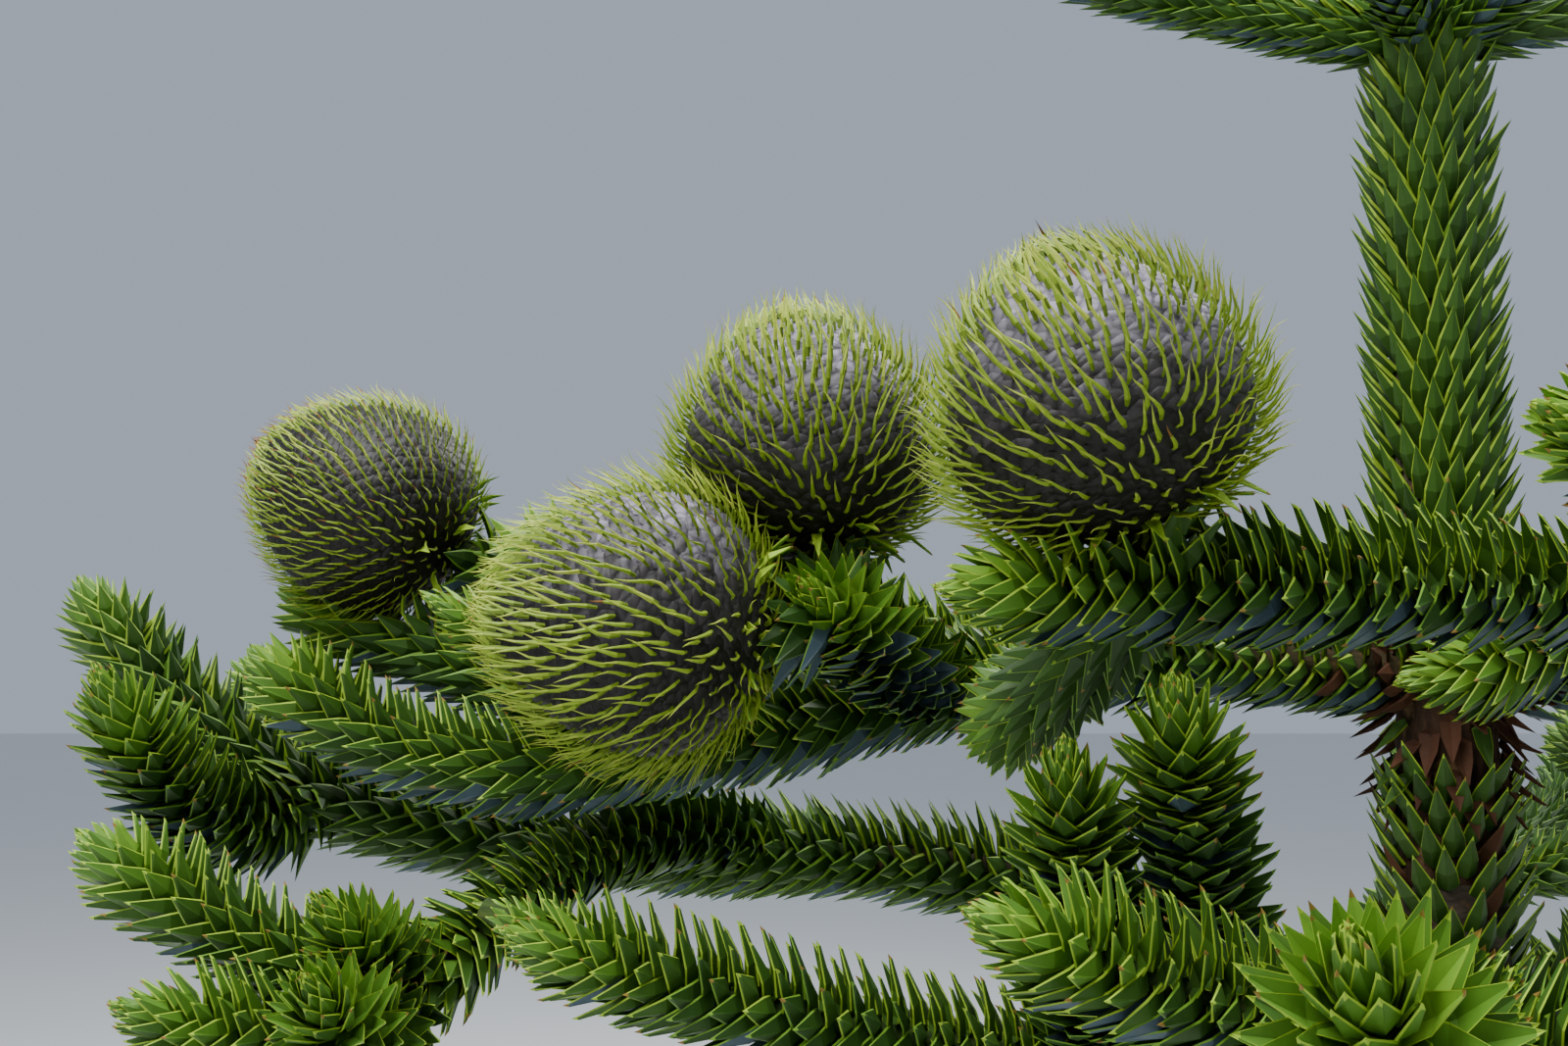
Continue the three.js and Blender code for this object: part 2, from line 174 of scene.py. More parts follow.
class Graph:
    """The shader tree of one material."""

    MIX_SHARE = 0
    MIX_FIRST = 6
    MIX_SECOND = 7
    MIX_RESULT = 2

    def __init__(self, name: str) -> None:
        """Makes a material with one Principled shader.

        Args:
            name: The material's name.
        """
        self.material = bpy.data.materials.new(name)
        self.material.use_nodes = True
        self.tree = self.material.node_tree
        self.shader = next(node for node in self.tree.nodes if node.type == "BSDF_PRINCIPLED")

    def node(self, kind: str, settings: dict[str, object], inputs: dict[str | int, object]) -> bpy.types.Node:
        """Adds a node.

        Args:
            kind: Blender's name for the node's type.
            settings: Properties of the node, set first.
            inputs: The value or link for each input, by name or number.

        Returns:
            The node.
        """
        node = self.tree.nodes.new(kind)
        for key, value in settings.items():
            setattr(node, key, value)
        for key, value in inputs.items():
            self.feed(node.inputs[key], value)
        return node

    def feed(self, socket: bpy.types.NodeSocket, value: object) -> None:
        """Links a socket, or sets its value.

        Args:
            socket: The input.
            value: A wave, an output socket or a plain value.
        """
        if isinstance(value, Wave):
            value = value.socket
        if isinstance(value, bpy.types.NodeSocket):
            self.tree.links.new(value, socket)
        else:
            socket.default_value = value

    def place(self) -> bpy.types.NodeSocket:
        """The place on the piece, in metres."""
        return self.node("ShaderNodeTexCoord", {}, {}).outputs["Object"]

    def noise(
        self, size: float, detail: float = 2.0, roughness: float = 0.5, stretch: Point = (1.0, 1.0, 1.0)
    ) -> Wave:
        """Noise from 0 to 1 over the surface.

        Args:
            size: How far apart its lumps are, in metres.
            detail: How many finer layers it has.
            roughness: How strong those are.
            stretch: How much finer it is along each axis.

        Returns:
            The noise.
        """
        scale = tuple(v / size for v in stretch)
        places = self.node("ShaderNodeVectorMath", {"operation": "MULTIPLY"}, {0: self.place(), 1: scale})
        inputs = {"Vector": places.outputs[0], "Scale": 1.0, "Detail": detail, "Roughness": roughness}
        return Wave(self, self.node("ShaderNodeTexNoise", {}, inputs).outputs["Fac"])

    def cracks(self, size: float) -> Wave:
        """How far each place is from the nearest crack between cells.

        Args:
            size: How wide the cells are, in metres.

        Returns:
            The distance, from 0 on a crack to about 0.5 in a cell's middle.
        """
        settings = {"feature": "DISTANCE_TO_EDGE"}
        node = self.node("ShaderNodeTexVoronoi", settings, {"Vector": self.place(), "Scale": 1 / size})
        return Wave(self, node.outputs["Distance"])

    def blend(self, share: "Wave | float", first: object, second: object) -> bpy.types.NodeSocket:
        """Mixes two colours.

        Args:
            share: How much of the second there is.
            first: A colour as seen on a screen, or a link.
            second: The same.

        Returns:
            The mixed colour.
        """
        inputs = {self.MIX_SHARE: share, self.MIX_FIRST: first, self.MIX_SECOND: second}
        for key, value in inputs.items():
            inputs[key] = linear(*value) if isinstance(value, tuple) else value
        return self.node("ShaderNodeMix", {"data_type": "RGBA"}, inputs).outputs[self.MIX_RESULT]

    def bump(self, height: Wave, strength: float, depth: float) -> None:
        """Dents the surface, where a height of 1 stands for this depth in metres."""
        node = self.node("ShaderNodeBump", {}, {"Strength": strength, "Distance": depth, "Height": height})
        self.feed(self.shader.inputs["Normal"], node.outputs["Normal"])

    def dress(self, colour: object, roughness: "Wave | float", specular: float = 0.5) -> bpy.types.Material:
        """Feeds the shader.

        Args:
            colour: Its base colour.
            roughness: Its roughness.
            specular: How strongly it reflects, where 0.5 is usual.

        Returns:
            The finished material.
        """
        self.feed(self.shader.inputs["Base Color"], colour)
        self.feed(self.shader.inputs["Roughness"], roughness)
        self.feed(self.shader.inputs["Specular IOR Level"], specular)
        return self.material


@dataclass(frozen=True)
class LeafFinish:
    """Waxy leaf skin: two close colours in drifts, with fine specks and a soft sheen."""

    DRIFT_SIZE = 0.045
    DRIFT_GAIN = 1.6
    DRIFT_SHIFT = 0.3
    SPECK_SIZE = 0.006
    SPECK_DEPTH = 0.0004
    SPECK_SHARE = 0.5
    SPECK_DIM = 0.72
    SHEEN_SPREAD = 0.16

    name: str
    colour: Point
    drift: Point
    roughness: float = 0.44
    specular: float = 0.36

    def build(self) -> bpy.types.Material:
        """Makes the finish.

        Returns:
            Its material.
        """
        graph = Graph(self.name)
        drifts = graph.noise(self.DRIFT_SIZE)
        specks = graph.noise(self.SPECK_SIZE, detail=3.0, roughness=0.6)
        drifted = (drifts * self.DRIFT_GAIN - self.DRIFT_SHIFT).clamped()
        colour = graph.blend(drifted, self.colour, self.drift)
        speckled = (specks * self.SPECK_SHARE).clamped()
        colour = graph.blend(speckled, colour, dimmed(self.colour, self.SPECK_DIM))
        graph.bump(specks, strength=0.25, depth=self.SPECK_DEPTH)
        return graph.dress(colour, self.roughness + self.SHEEN_SPREAD * specks, self.specular)


@dataclass(frozen=True)
class BarkFinish:
    """Bark: ringed, with dark cracks and pale dry crumbs."""

    RING_GAIN = 2.4
    RING_SHIFT = 0.7
    RING_RELIEF = 0.7
    GRAIN_SIZE = 0.004
    GRAIN_SHARE = 0.55
    GRAIN_RELIEF = 0.3
    CRUMB_SIZE = 0.014
    CRUMB_FROM = 0.56
    CRUMB_EDGE = 7.0
    CRUMB_SHARE = 0.7
    ROUGHNESS = 0.8
    ROUGHNESS_SPREAD = 0.15

    name: str
    face: Point
    crack: Point
    crumb: Point
    ring: float
    depth: float
    stretch: Point = (0.35, 0.35, 1.6)

    def build(self) -> bpy.types.Material:
        """Makes the finish.

        Returns:
            Its material.
        """
        graph = Graph(self.name)
        rings = graph.noise(self.ring, detail=4.0, roughness=0.65, stretch=self.stretch)
        grain = graph.noise(self.GRAIN_SIZE, detail=4.0, roughness=0.7)
        crumbs = graph.noise(self.CRUMB_SIZE, detail=3.0, roughness=0.6)
        crumbs = ((crumbs - self.CRUMB_FROM) * self.CRUMB_EDGE).clamped()
        body = graph.blend((rings * self.RING_GAIN - self.RING_SHIFT).clamped(), self.crack, self.face)
        flecked = graph.blend(crumbs * self.CRUMB_SHARE, body, self.crumb)
        mottled = graph.blend((grain * self.GRAIN_SHARE).clamped(), flecked, self.crack)
        relief = rings * self.RING_RELIEF + grain * self.GRAIN_RELIEF
        graph.bump(relief, strength=0.6, depth=self.depth)
        return graph.dress(mottled, self.ROUGHNESS + self.ROUGHNESS_SPREAD * grain, specular=0.3)


@dataclass(frozen=True)
class ScaleFinish:
    """Cone scale: dark wood under a pale waxy coat that is rubbed off in places, with fine dark cracks; the
    pale colour also paints sheen, and the copies of this finish paint light and shade.
    """

    PATCH_SIZE = 0.011
    PATCH_GAIN = 1.4
    PATCH_SHIFT = 0.7
    PATCH_RELIEF = 0.3
    GRAIN_SIZE = 0.0022
    GRAIN_SHARE = 0.5
    GRAIN_RELIEF = 0.25
    CELL_SIZE = 0.0105
    CRACK_EDGE = 7.0
    CRACK_DIM = 0.45
    CRACK_SHARE = 0.65
    CRACK_RELIEF = 0.45
    DEPTH = 0.0008
    ROUGHNESS = 0.40
    ROUGHNESS_SPREAD = 0.22

    name: str
    wood: Point
    bloom: Point
    cover: float

    def build(self) -> bpy.types.Material:
        """Makes the finish.

        Returns:
            Its material.
        """
        graph = Graph(self.name)
        patches = graph.noise(self.PATCH_SIZE, detail=3.0, roughness=0.6)
        grain = graph.noise(self.GRAIN_SIZE, detail=3.0, roughness=0.6)
        covered = (patches * self.PATCH_GAIN + (self.cover - self.PATCH_SHIFT)).clamped()
        colour = graph.blend(covered, self.wood, self.bloom)
        worn = graph.blend((grain * self.GRAIN_SHARE).clamped(), colour, self.wood)
        whole = (graph.cracks(self.CELL_SIZE) * self.CRACK_EDGE).clamped()
        whole_share = whole * self.CRACK_SHARE + (1 - self.CRACK_SHARE)
        cracked = graph.blend(whole_share, dimmed(self.wood, self.CRACK_DIM), worn)
        relief = grain * self.GRAIN_RELIEF + patches * self.PATCH_RELIEF + whole * self.CRACK_RELIEF
        graph.bump(relief, strength=0.6, depth=self.DEPTH)
        return graph.dress(cracked, self.ROUGHNESS + self.ROUGHNESS_SPREAD * patches, specular=0.32)


@dataclass(frozen=True)
class StageFinish:
    """The plain pale floor."""

    CLOUD_SIZE = 0.6
    CLOUD_SHARE = 0.5
    CLOUD_DIM = 0.97

    name: str
    colour: Point

    def build(self) -> bpy.types.Material:
        """Makes the finish.

        Returns:
            Its material.
        """
        graph = Graph(self.name)
        cloud = (graph.noise(self.CLOUD_SIZE) * self.CLOUD_SHARE).clamped()
        colour = graph.blend(cloud, self.colour, dimmed(self.colour, self.CLOUD_DIM))
        return graph.dress(colour, roughness=0.75, specular=0.2)


class Tone(IntEnum):
    """The tone of a face of a leaf or bract, and its material slot; which green a face gets is partly painted
    light and shade, and slate is partly painted sky reflection.
    """

    DEEP = 0
    MID = 1
    FRESH = 2
    YOUNG = 3
    SLATE = 4
    MARGIN = 5
    POINT = 6
    RUST = 7


class ConeTone(IntEnum):
    """The tone of a face of a cone, and its material slot: lit and shaded copies of one scale finish, from
    dark wood in painted shade to the pale waxy coat with painted sheen.
    """

    WOOD = 0
    SMOKE = 1
    DUSK = 2
    BLOOM = 3


class AwnTone(IntEnum):
    """What a face of an awn is made of, and its material slot; gold on awns that face up is partly painted
    backlight.
    """

    ROOT = 0
    LIME = 1
    GOLD = 2
    SCORCHED = 3


LEAF_FINISHES = {
    Tone.DEEP: LeafFinish("leaf_deep", (0.16, 0.29, 0.07), (0.20, 0.34, 0.09)),
    Tone.MID: LeafFinish("leaf_mid", (0.22, 0.37, 0.09), (0.27, 0.42, 0.12)),
    Tone.FRESH: LeafFinish("leaf_fresh", (0.30, 0.47, 0.12), (0.36, 0.53, 0.15)),
    Tone.YOUNG: LeafFinish("leaf_young", (0.41, 0.59, 0.15), (0.48, 0.65, 0.19), 0.46),
    Tone.SLATE: LeafFinish("leaf_slate", (0.25, 0.33, 0.37), (0.34, 0.42, 0.46), 0.4),
    Tone.MARGIN: LeafFinish("leaf_margin", (0.58, 0.72, 0.16), (0.66, 0.78, 0.23), 0.5),
    Tone.POINT: LeafFinish("leaf_point", (0.52, 0.40, 0.17), (0.60, 0.50, 0.20), 0.55, 0.3),
    Tone.RUST: LeafFinish("leaf_rust", (0.24, 0.14, 0.09), (0.40, 0.25, 0.15), 0.7, 0.25),
}
AWN_FINISHES = {
    AwnTone.ROOT: LeafFinish("awn_root", (0.42, 0.52, 0.10), (0.48, 0.58, 0.13), 0.55, 0.4),
    AwnTone.LIME: LeafFinish("awn_lime", (0.51, 0.62, 0.11), (0.58, 0.68, 0.16), 0.5, 0.42),
    AwnTone.GOLD: LeafFinish("awn_gold", (0.63, 0.70, 0.19), (0.71, 0.76, 0.28), 0.5, 0.42),
    AwnTone.SCORCHED: LeafFinish("awn_scorched", (0.50, 0.32, 0.13), (0.58, 0.42, 0.16), 0.6, 0.3),
}
# Lit and shaded copies of one scale finish: painted shade on the darkest, painted sheen on the palest.
CONE_FINISHES = {
    ConeTone.WOOD: ScaleFinish("scale_wood", (0.06, 0.05, 0.04), (0.14, 0.12, 0.11), 0.4),
    ConeTone.SMOKE: ScaleFinish("scale_smoke", (0.11, 0.10, 0.10), (0.27, 0.25, 0.26), 0.6),
    ConeTone.DUSK: ScaleFinish("scale_dusk", (0.18, 0.17, 0.18), (0.42, 0.40, 0.44), 0.8),
    ConeTone.BLOOM: ScaleFinish("scale_bloom", (0.34, 0.32, 0.36), (0.58, 0.55, 0.62), 1.0),
}
TRUNK_BARK = BarkFinish(
    "trunk_bark", (0.45, 0.40, 0.34), (0.16, 0.12, 0.09), (0.62, 0.44, 0.26), 0.012, 0.003
)
FIBRE_BARK = BarkFinish(
    "whorl_fibre", (0.34, 0.23, 0.15), (0.09, 0.06, 0.04), (0.60, 0.47, 0.32), 0.008, 0.004, (1.6, 1.6, 0.3)
)
LIMB_BARK = BarkFinish(
    "limb_bark", (0.34, 0.30, 0.18), (0.14, 0.12, 0.06), (0.50, 0.36, 0.20), 0.008, 0.002
)
SHOOT_BARK = BarkFinish(
    "shoot_bark", (0.26, 0.36, 0.12), (0.12, 0.17, 0.05), (0.40, 0.44, 0.18), 0.006, 0.001
)
FLOOR_FINISH = StageFinish("floor", (0.90, 0.90, 0.89))


@dataclass
class MeshParts:
    """Vertices and faces that are gathered into one piece."""

    vertices: list[Array] = field(default_factory=list)
    faces: list[Array] = field(default_factory=list)
    slots: list[Array] = field(default_factory=list)
    count: int = 0

    def add(self, vertices: Array, faces: list[Array], slots: list[Array]) -> None:
        """Adds a patch.

        Args:
            vertices: Its vertices, one row each.
            faces: Blocks of faces, each with the same number of corners all through.
            slots: The material slot of each face, block by block.
        """
        self.vertices.append(vertices.reshape(-1, 3))
        self.faces.extend(block + self.count for block in faces)
        self.slots.extend(slots)
        self.count += self.vertices[-1].shape[0]

    def triangles(self) -> int:
        """How many triangles the faces make."""
        return sum(block.shape[0] * (block.shape[1] - 2) for block in self.faces)

    def piece(self, name: str, materials: Materials, soft: bool) -> bpy.types.Object:
        """Makes the piece.

        Args:
            name: The piece's name.
            materials: Its material slots, in order.
            soft: Whether it is shaded smooth.

        Returns:
            The object, in the scene.
        """
        mesh = bpy.data.meshes.new(name)
        vertices = np.concatenate(self.vertices).astype(np.float32)
        corners = np.concatenate([block.ravel() for block in self.faces]).astype(np.int32)
        totals = np.concatenate([np.full(len(block), block.shape[1], np.int32) for block in self.faces])
        starts = np.concatenate(([0], np.cumsum(totals)[:-1])).astype(np.int32)
        mesh.vertices.add(len(vertices))
        mesh.vertices.foreach_set("co", vertices.ravel())
        mesh.loops.add(len(corners))
        mesh.loops.foreach_set("vertex_index", corners)
        mesh.polygons.add(len(totals))
        mesh.polygons.foreach_set("loop_start", starts)
        mesh.polygons.foreach_set("material_index", np.concatenate(self.slots).astype(np.int32))
        mesh.update(calc_edges=True)
        if soft:
            mesh.shade_smooth()
        else:
            mesh.shade_flat()
        for material in materials:
            mesh.materials.append(material)
        made = bpy.data.objects.new(name, mesh)
        bpy.context.scene.collection.objects.link(made)
        LOG.info("%s: %d triangles", name, self.triangles())
        return made


def attach(piece: bpy.types.Object, slot: str, *nodes: str) -> None:
    """Rides a piece on the tree's body, and hides the solids that it stands for.

    Args:
        piece: The piece.
        slot: Not used.
        nodes: The solids that it stands for.
    """
    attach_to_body(piece, BODY)
    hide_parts(*nodes)


class Stream:
    """The repeatable stream of numbers that the solids are grown with."""

    MULTIPLIER = 16807
    MODULUS = 2147483647

    def __init__(self, seed: int) -> None:
        """Starts the stream at a seed."""
        self.state = seed

    def next(self) -> float:
        """The next number from 0 to 1."""
        self.state = (self.state * self.MULTIPLIER) % self.MODULUS
        return self.state / self.MODULUS


class Curve:
    """A Bézier curve that is read by its share of length."""

    DIVISIONS = 200
    LEVEL_ENOUGH = 0.2

    def __init__(self, *points: Array) -> None:
        """Measures the curve.

        Args:
            points: Its three or four control points.
        """
        self.points = np.array(points, dtype=float)
        self.steps = np.linspace(0.0, 1.0, self.DIVISIONS + 1)
        chords = np.linalg.norm(np.diff(self._bezier(self.points, self.steps), axis=0), axis=1)
        self.lengths = np.concatenate(([0.0], np.cumsum(chords)))
        self.length = float(self.lengths[-1])

    @staticmethod
    def _bezier(points: Array, steps: Array) -> Array:
        """Places on a Bézier curve.

        Args:
            points: Its control points.
            steps: The curve's own parameter at each place, from 0 to 1.

        Returns:
            The places.
        """
        degree = len(points) - 1
        gone = steps[:, None]
        left = 1 - gone
        terms = enumerate(points)
        return sum(math.comb(degree, k) * gone**k * left ** (degree - k) * point for k, point in terms)

    def _steps(self, shares: Array) -> Array:
        """The curve's own parameter at shares of its length."""
        return np.interp(np.asarray(shares, dtype=float) * self.length, self.lengths, self.steps)

    def places(self, shares: Array) -> Array:
        """Places at shares of the length."""
        return self._bezier(self.points, self._steps(shares))

    def place(self, share: float) -> Array:
        """The place at one share of the length."""
        return self.places(np.array([share]))[0]

    def tangents(self, shares: Array) -> Array:
        """Directions at shares of the length."""
        return unit(self._bezier(np.diff(self.points, axis=0), self._steps(shares)))

    def frames(self, shares: Array) -> tuple[Array, Array, Array]:
        """Directions along and across the curve.

        Args:
            shares: Where, as shares of the length.

        Returns:
            The direction along, the level one across, and the one square to both.
        """
        along = self.tangents(shares)
        level = np.cross(unit(self.points[-1] - self.points[0]), UP)
        across = unit(level) if np.linalg.norm(level) > self.LEVEL_ENOUGH else EAST
        side = unit(across - along * (along @ across)[:, None])
        return along, side, np.cross(along, side)


@dataclass(frozen=True)
class Whorl:
    """A whorl of boughs: its height and reach, how its boughs rise and fall, and where they head."""

    height: float
    reach: float
    lifts: tuple[float, float, float]
    limb: float
    headings: tuple[float, ...]


@dataclass(frozen=True)
class SetShoot:
    """A side shoot in a place of its own, on the stem or on another side shoot."""

    name: str
    at: float
    tip: Point
    sag: float
    on: str = "stem"
    size: float = 0.82
    slate: float | None = None


@dataclass(frozen=True)
class SetBough:
    """A bough with bends and side shoots of its own."""

    limb: float
    bends: tuple[Point, Point, Point]
    shoots: tuple[SetShoot, ...]
    size: float = 0.9


@dataclass(frozen=True)
class Awning:
    """One cone's own awns: how long and wide they are, how far they lean, and how many are scorched."""

    length: float = 1.0
    width: float = 1.0
    sway: float = 0.0
    scorch: float = 0.012


@dataclass(frozen=True)
class ConePlan:
    """Where a cone stands: its bough, its shoot, its centre and its axis, with its radius and half height."""

    EGG = 0.20
    FOOT = 0.96
    ASKEW = (0.3, 1.0, 0.2)

    name: str
    bough: str
    shoot: str
    at: float
    centre: Point
    axis: Point
    across: float
    half: float
    awning: Awning
    # How far this cone's scales are shifted towards the pale tones of painted sheen, or, below 0, towards the
    # dark tones of painted shade.
    bloom: float = 0.0
    scales: int = 900

    def girth(self, rise: Array) -> Array:
        """The radius at a rise from -1 at the foot to 1 at the apex, where the foot's half is the wider."""
        return self.across * np.sqrt(1 - rise**2) * (1 - self.EGG * rise)

    def foot(self) -> tuple[Array, Array]:
        """The middle of the foot, and the axis."""
        axis = unit(np.array(self.axis))
        return np.array(self.centre) - axis * self.half * self.FOOT, axis

    def ring(self, turns: Array) -> tuple[Array, Array]:
        """Directions straight out of the axis.

        Args:
            turns: How far round each one is.

        Returns:
            The axis, and the directions.
        """
        axis = unit(np.array(self.axis))
        first = unit(np.cross(axis, self.ASKEW))
        return axis, around(first, np.cross(axis, first), turns)


WHORLS = (
    Whorl(0.330, 1.080, (0.040, -0.120, 0.010), 0.34, (12, 84, 156, 228, 300)),
    Whorl(0.750, 1.120, (0.190, -0.020, 0.200), 0.34, (48, 120, 192, 262, 336)),
    Whorl(1.190, 1.000, (0.330, 0.060, 0.330), 0.36, (165, 250, 322, 34, 100)),
    Whorl(1.530, 0.830, (0.060, -0.060, 0.090), 0.34, (180, 280, 350, 52, 118)),
    Whorl(1.977, 0.440, (0.030, 0.050, 0.200), 0.0, (177, 235, 293, 351, 64)),
    Whorl(2.380, 0.220, (0.050, 0.090, 0.190), 0.0, (20, 110, 200, 290)),
)

SET_BOUGHS = {
    "4a": SetBough(
        0.18,
        ((-0.380, -0.010, 1.610), (-0.580, -0.060, 1.360), (-0.792, -0.006, 1.546)),
        (
            SetShoot("rear", 0.36, (-0.450, 0.190, 1.570), 0.010),
            SetShoot("bud", 0.42, (-0.430, -0.190, 1.585), 0.010, size=0.9),
            SetShoot("far", 0.6, (-0.790, 0.058, 1.590), 0.014, size=1.0),
            SetShoot("mid", 0.58, (-0.662, -0.086, 1.584), 0.014, size=0.68),
            SetShoot("back", 0.56, (-0.652, 0.046, 1.615), -0.052, size=1.05),
        ),
    ),
    "4b": SetBough(
        0.18,
        ((0.036, -0.150, 1.580), (0.086, -0.400, 1.604), (0.120, -0.640, 1.660)),
        (
            SetShoot("inner", 0.22, (-0.062, -0.118, 1.536), 0.008),
            SetShoot("left", 0.36, (-0.352, -0.284, 1.584), 0.0, size=0.92),
            SetShoot("right", 0.42, (0.370, -0.300, 1.620), 0.016),
            SetShoot("edge", 0.6, (-0.156, -0.478, 1.640), 0.020),
            SetShoot("outer", 0.66, (0.330, -0.540, 1.650), 0.016),
            SetShoot("net", 0.78, (-0.318, -0.100, 1.493), 0.0, "left", slate=0.0),
        ),
    ),
    "3a": SetBough(
        0.42,
        ((-0.265, 0.205, 1.590), (-0.690, -0.018, 1.236), (-0.955, 0.078, 1.597)),
        (
            SetShoot("rear", 0.46, (-0.620, 0.360, 1.375), 0.012),
            SetShoot("low", 0.5, (-0.672, -0.110, 1.335), -0.095),
            SetShoot("twin", 0.79, (-0.872, -0.072, 1.530), 0.100, size=0.95),
            SetShoot("hind", 0.7, (-0.900, 0.260, 1.540), 0.020),
            SetShoot("wing", 0.95, (-0.865, -0.096, 1.436), 0.030, "low"),
            SetShoot("nose", 0.93, (-0.704, -0.160, 1.408), 0.012, "low"),
            SetShoot("chin", 0.98, (-0.694, -0.214, 1.374), 0.040, "low"),
            SetShoot("sole", 0.97, (-0.809, -0.168, 1.353), 0.030, "low"),
        ),
    ),
    "3b": SetBough(
        0.26,
        ((-0.040, -0.120, 1.430), (-0.232, -0.518, 1.342), (-0.275, -0.580, 1.461)),
        (
            SetShoot("long", 0.3, (-0.582, -0.225, 1.404), 0.060),
            SetShoot("right", 0.45, (0.150, -0.430, 1.440), 0.016),
            SetShoot("left", 0.62, (-0.358, -0.388, 1.440), 0.014),
            SetShoot("horn", 0.26, (-0.257, -0.306, 1.531), 0.020, "long"),
            SetShoot("spur", 0.4, (-0.306, -0.286, 1.500), 0.020, "long"),
            SetShoot("outer", 0.7, (0.020, -0.600, 1.440), 0.016),
            SetShoot("gem", 0.9, (-0.606, -0.205, 1.416), 0.004, "long", 0.5),
        ),
    ),
    "3e": SetBough(
        0.36,
        ((-0.035, 0.270, 1.460), (0.420, 0.620, 1.220), (0.560, 0.880, 1.500)),
        (
            SetShoot("near", 0.44, (0.620, 0.400, 1.420), 0.014),
            SetShoot("far", 0.5, (0.360, 0.920, 1.440), 0.014),
            SetShoot("outer", 0.68, (0.700, 0.620, 1.460), 0.014),
        ),
    ),
}

CONES = (
    ConePlan(
        "cone_1", "4a", "back", 0.97, (-0.742, 0.034, 1.658), (-0.8, 0.0, 0.45), 0.072, 0.078,
        Awning(0.70, 0.72, 0.10, 0.22), bloom=-1.3, scales=1150,
    ),
    ConePlan(
        "cone_2", "4a", "bud", 0.88, (-0.531, -0.168, 1.570), (-1.0, -0.05, 0.1), 0.073, 0.079,
        Awning(sway=0.06), bloom=-0.15,
    ),
    ConePlan(
        "cone_3", "4a", "bud", 0.77, (-0.430, -0.099, 1.685), (-0.12, 0.1, 1.0), 0.075, 0.077,
        Awning(sway=-0.04), bloom=0.05,
    ),
    ConePlan(
        "cone_4", "4b", "left", 0.76, (-0.287, -0.268, 1.683), (-0.36, -0.10, 1.0), 0.076, 0.074,
        Awning(sway=-0.24), bloom=0.15,
    ),
)


@dataclass(frozen=True)
class Stretch:
    """A stretch of a limb, stem or shoot: its curve, its shares of that, its radii, and its leaves' dress."""

    key: str
    curve: Curve
    start: float
    end: float
    root: float
    tip: float
    is_limb: bool
    has_tip: bool
    size: float
    slate: float


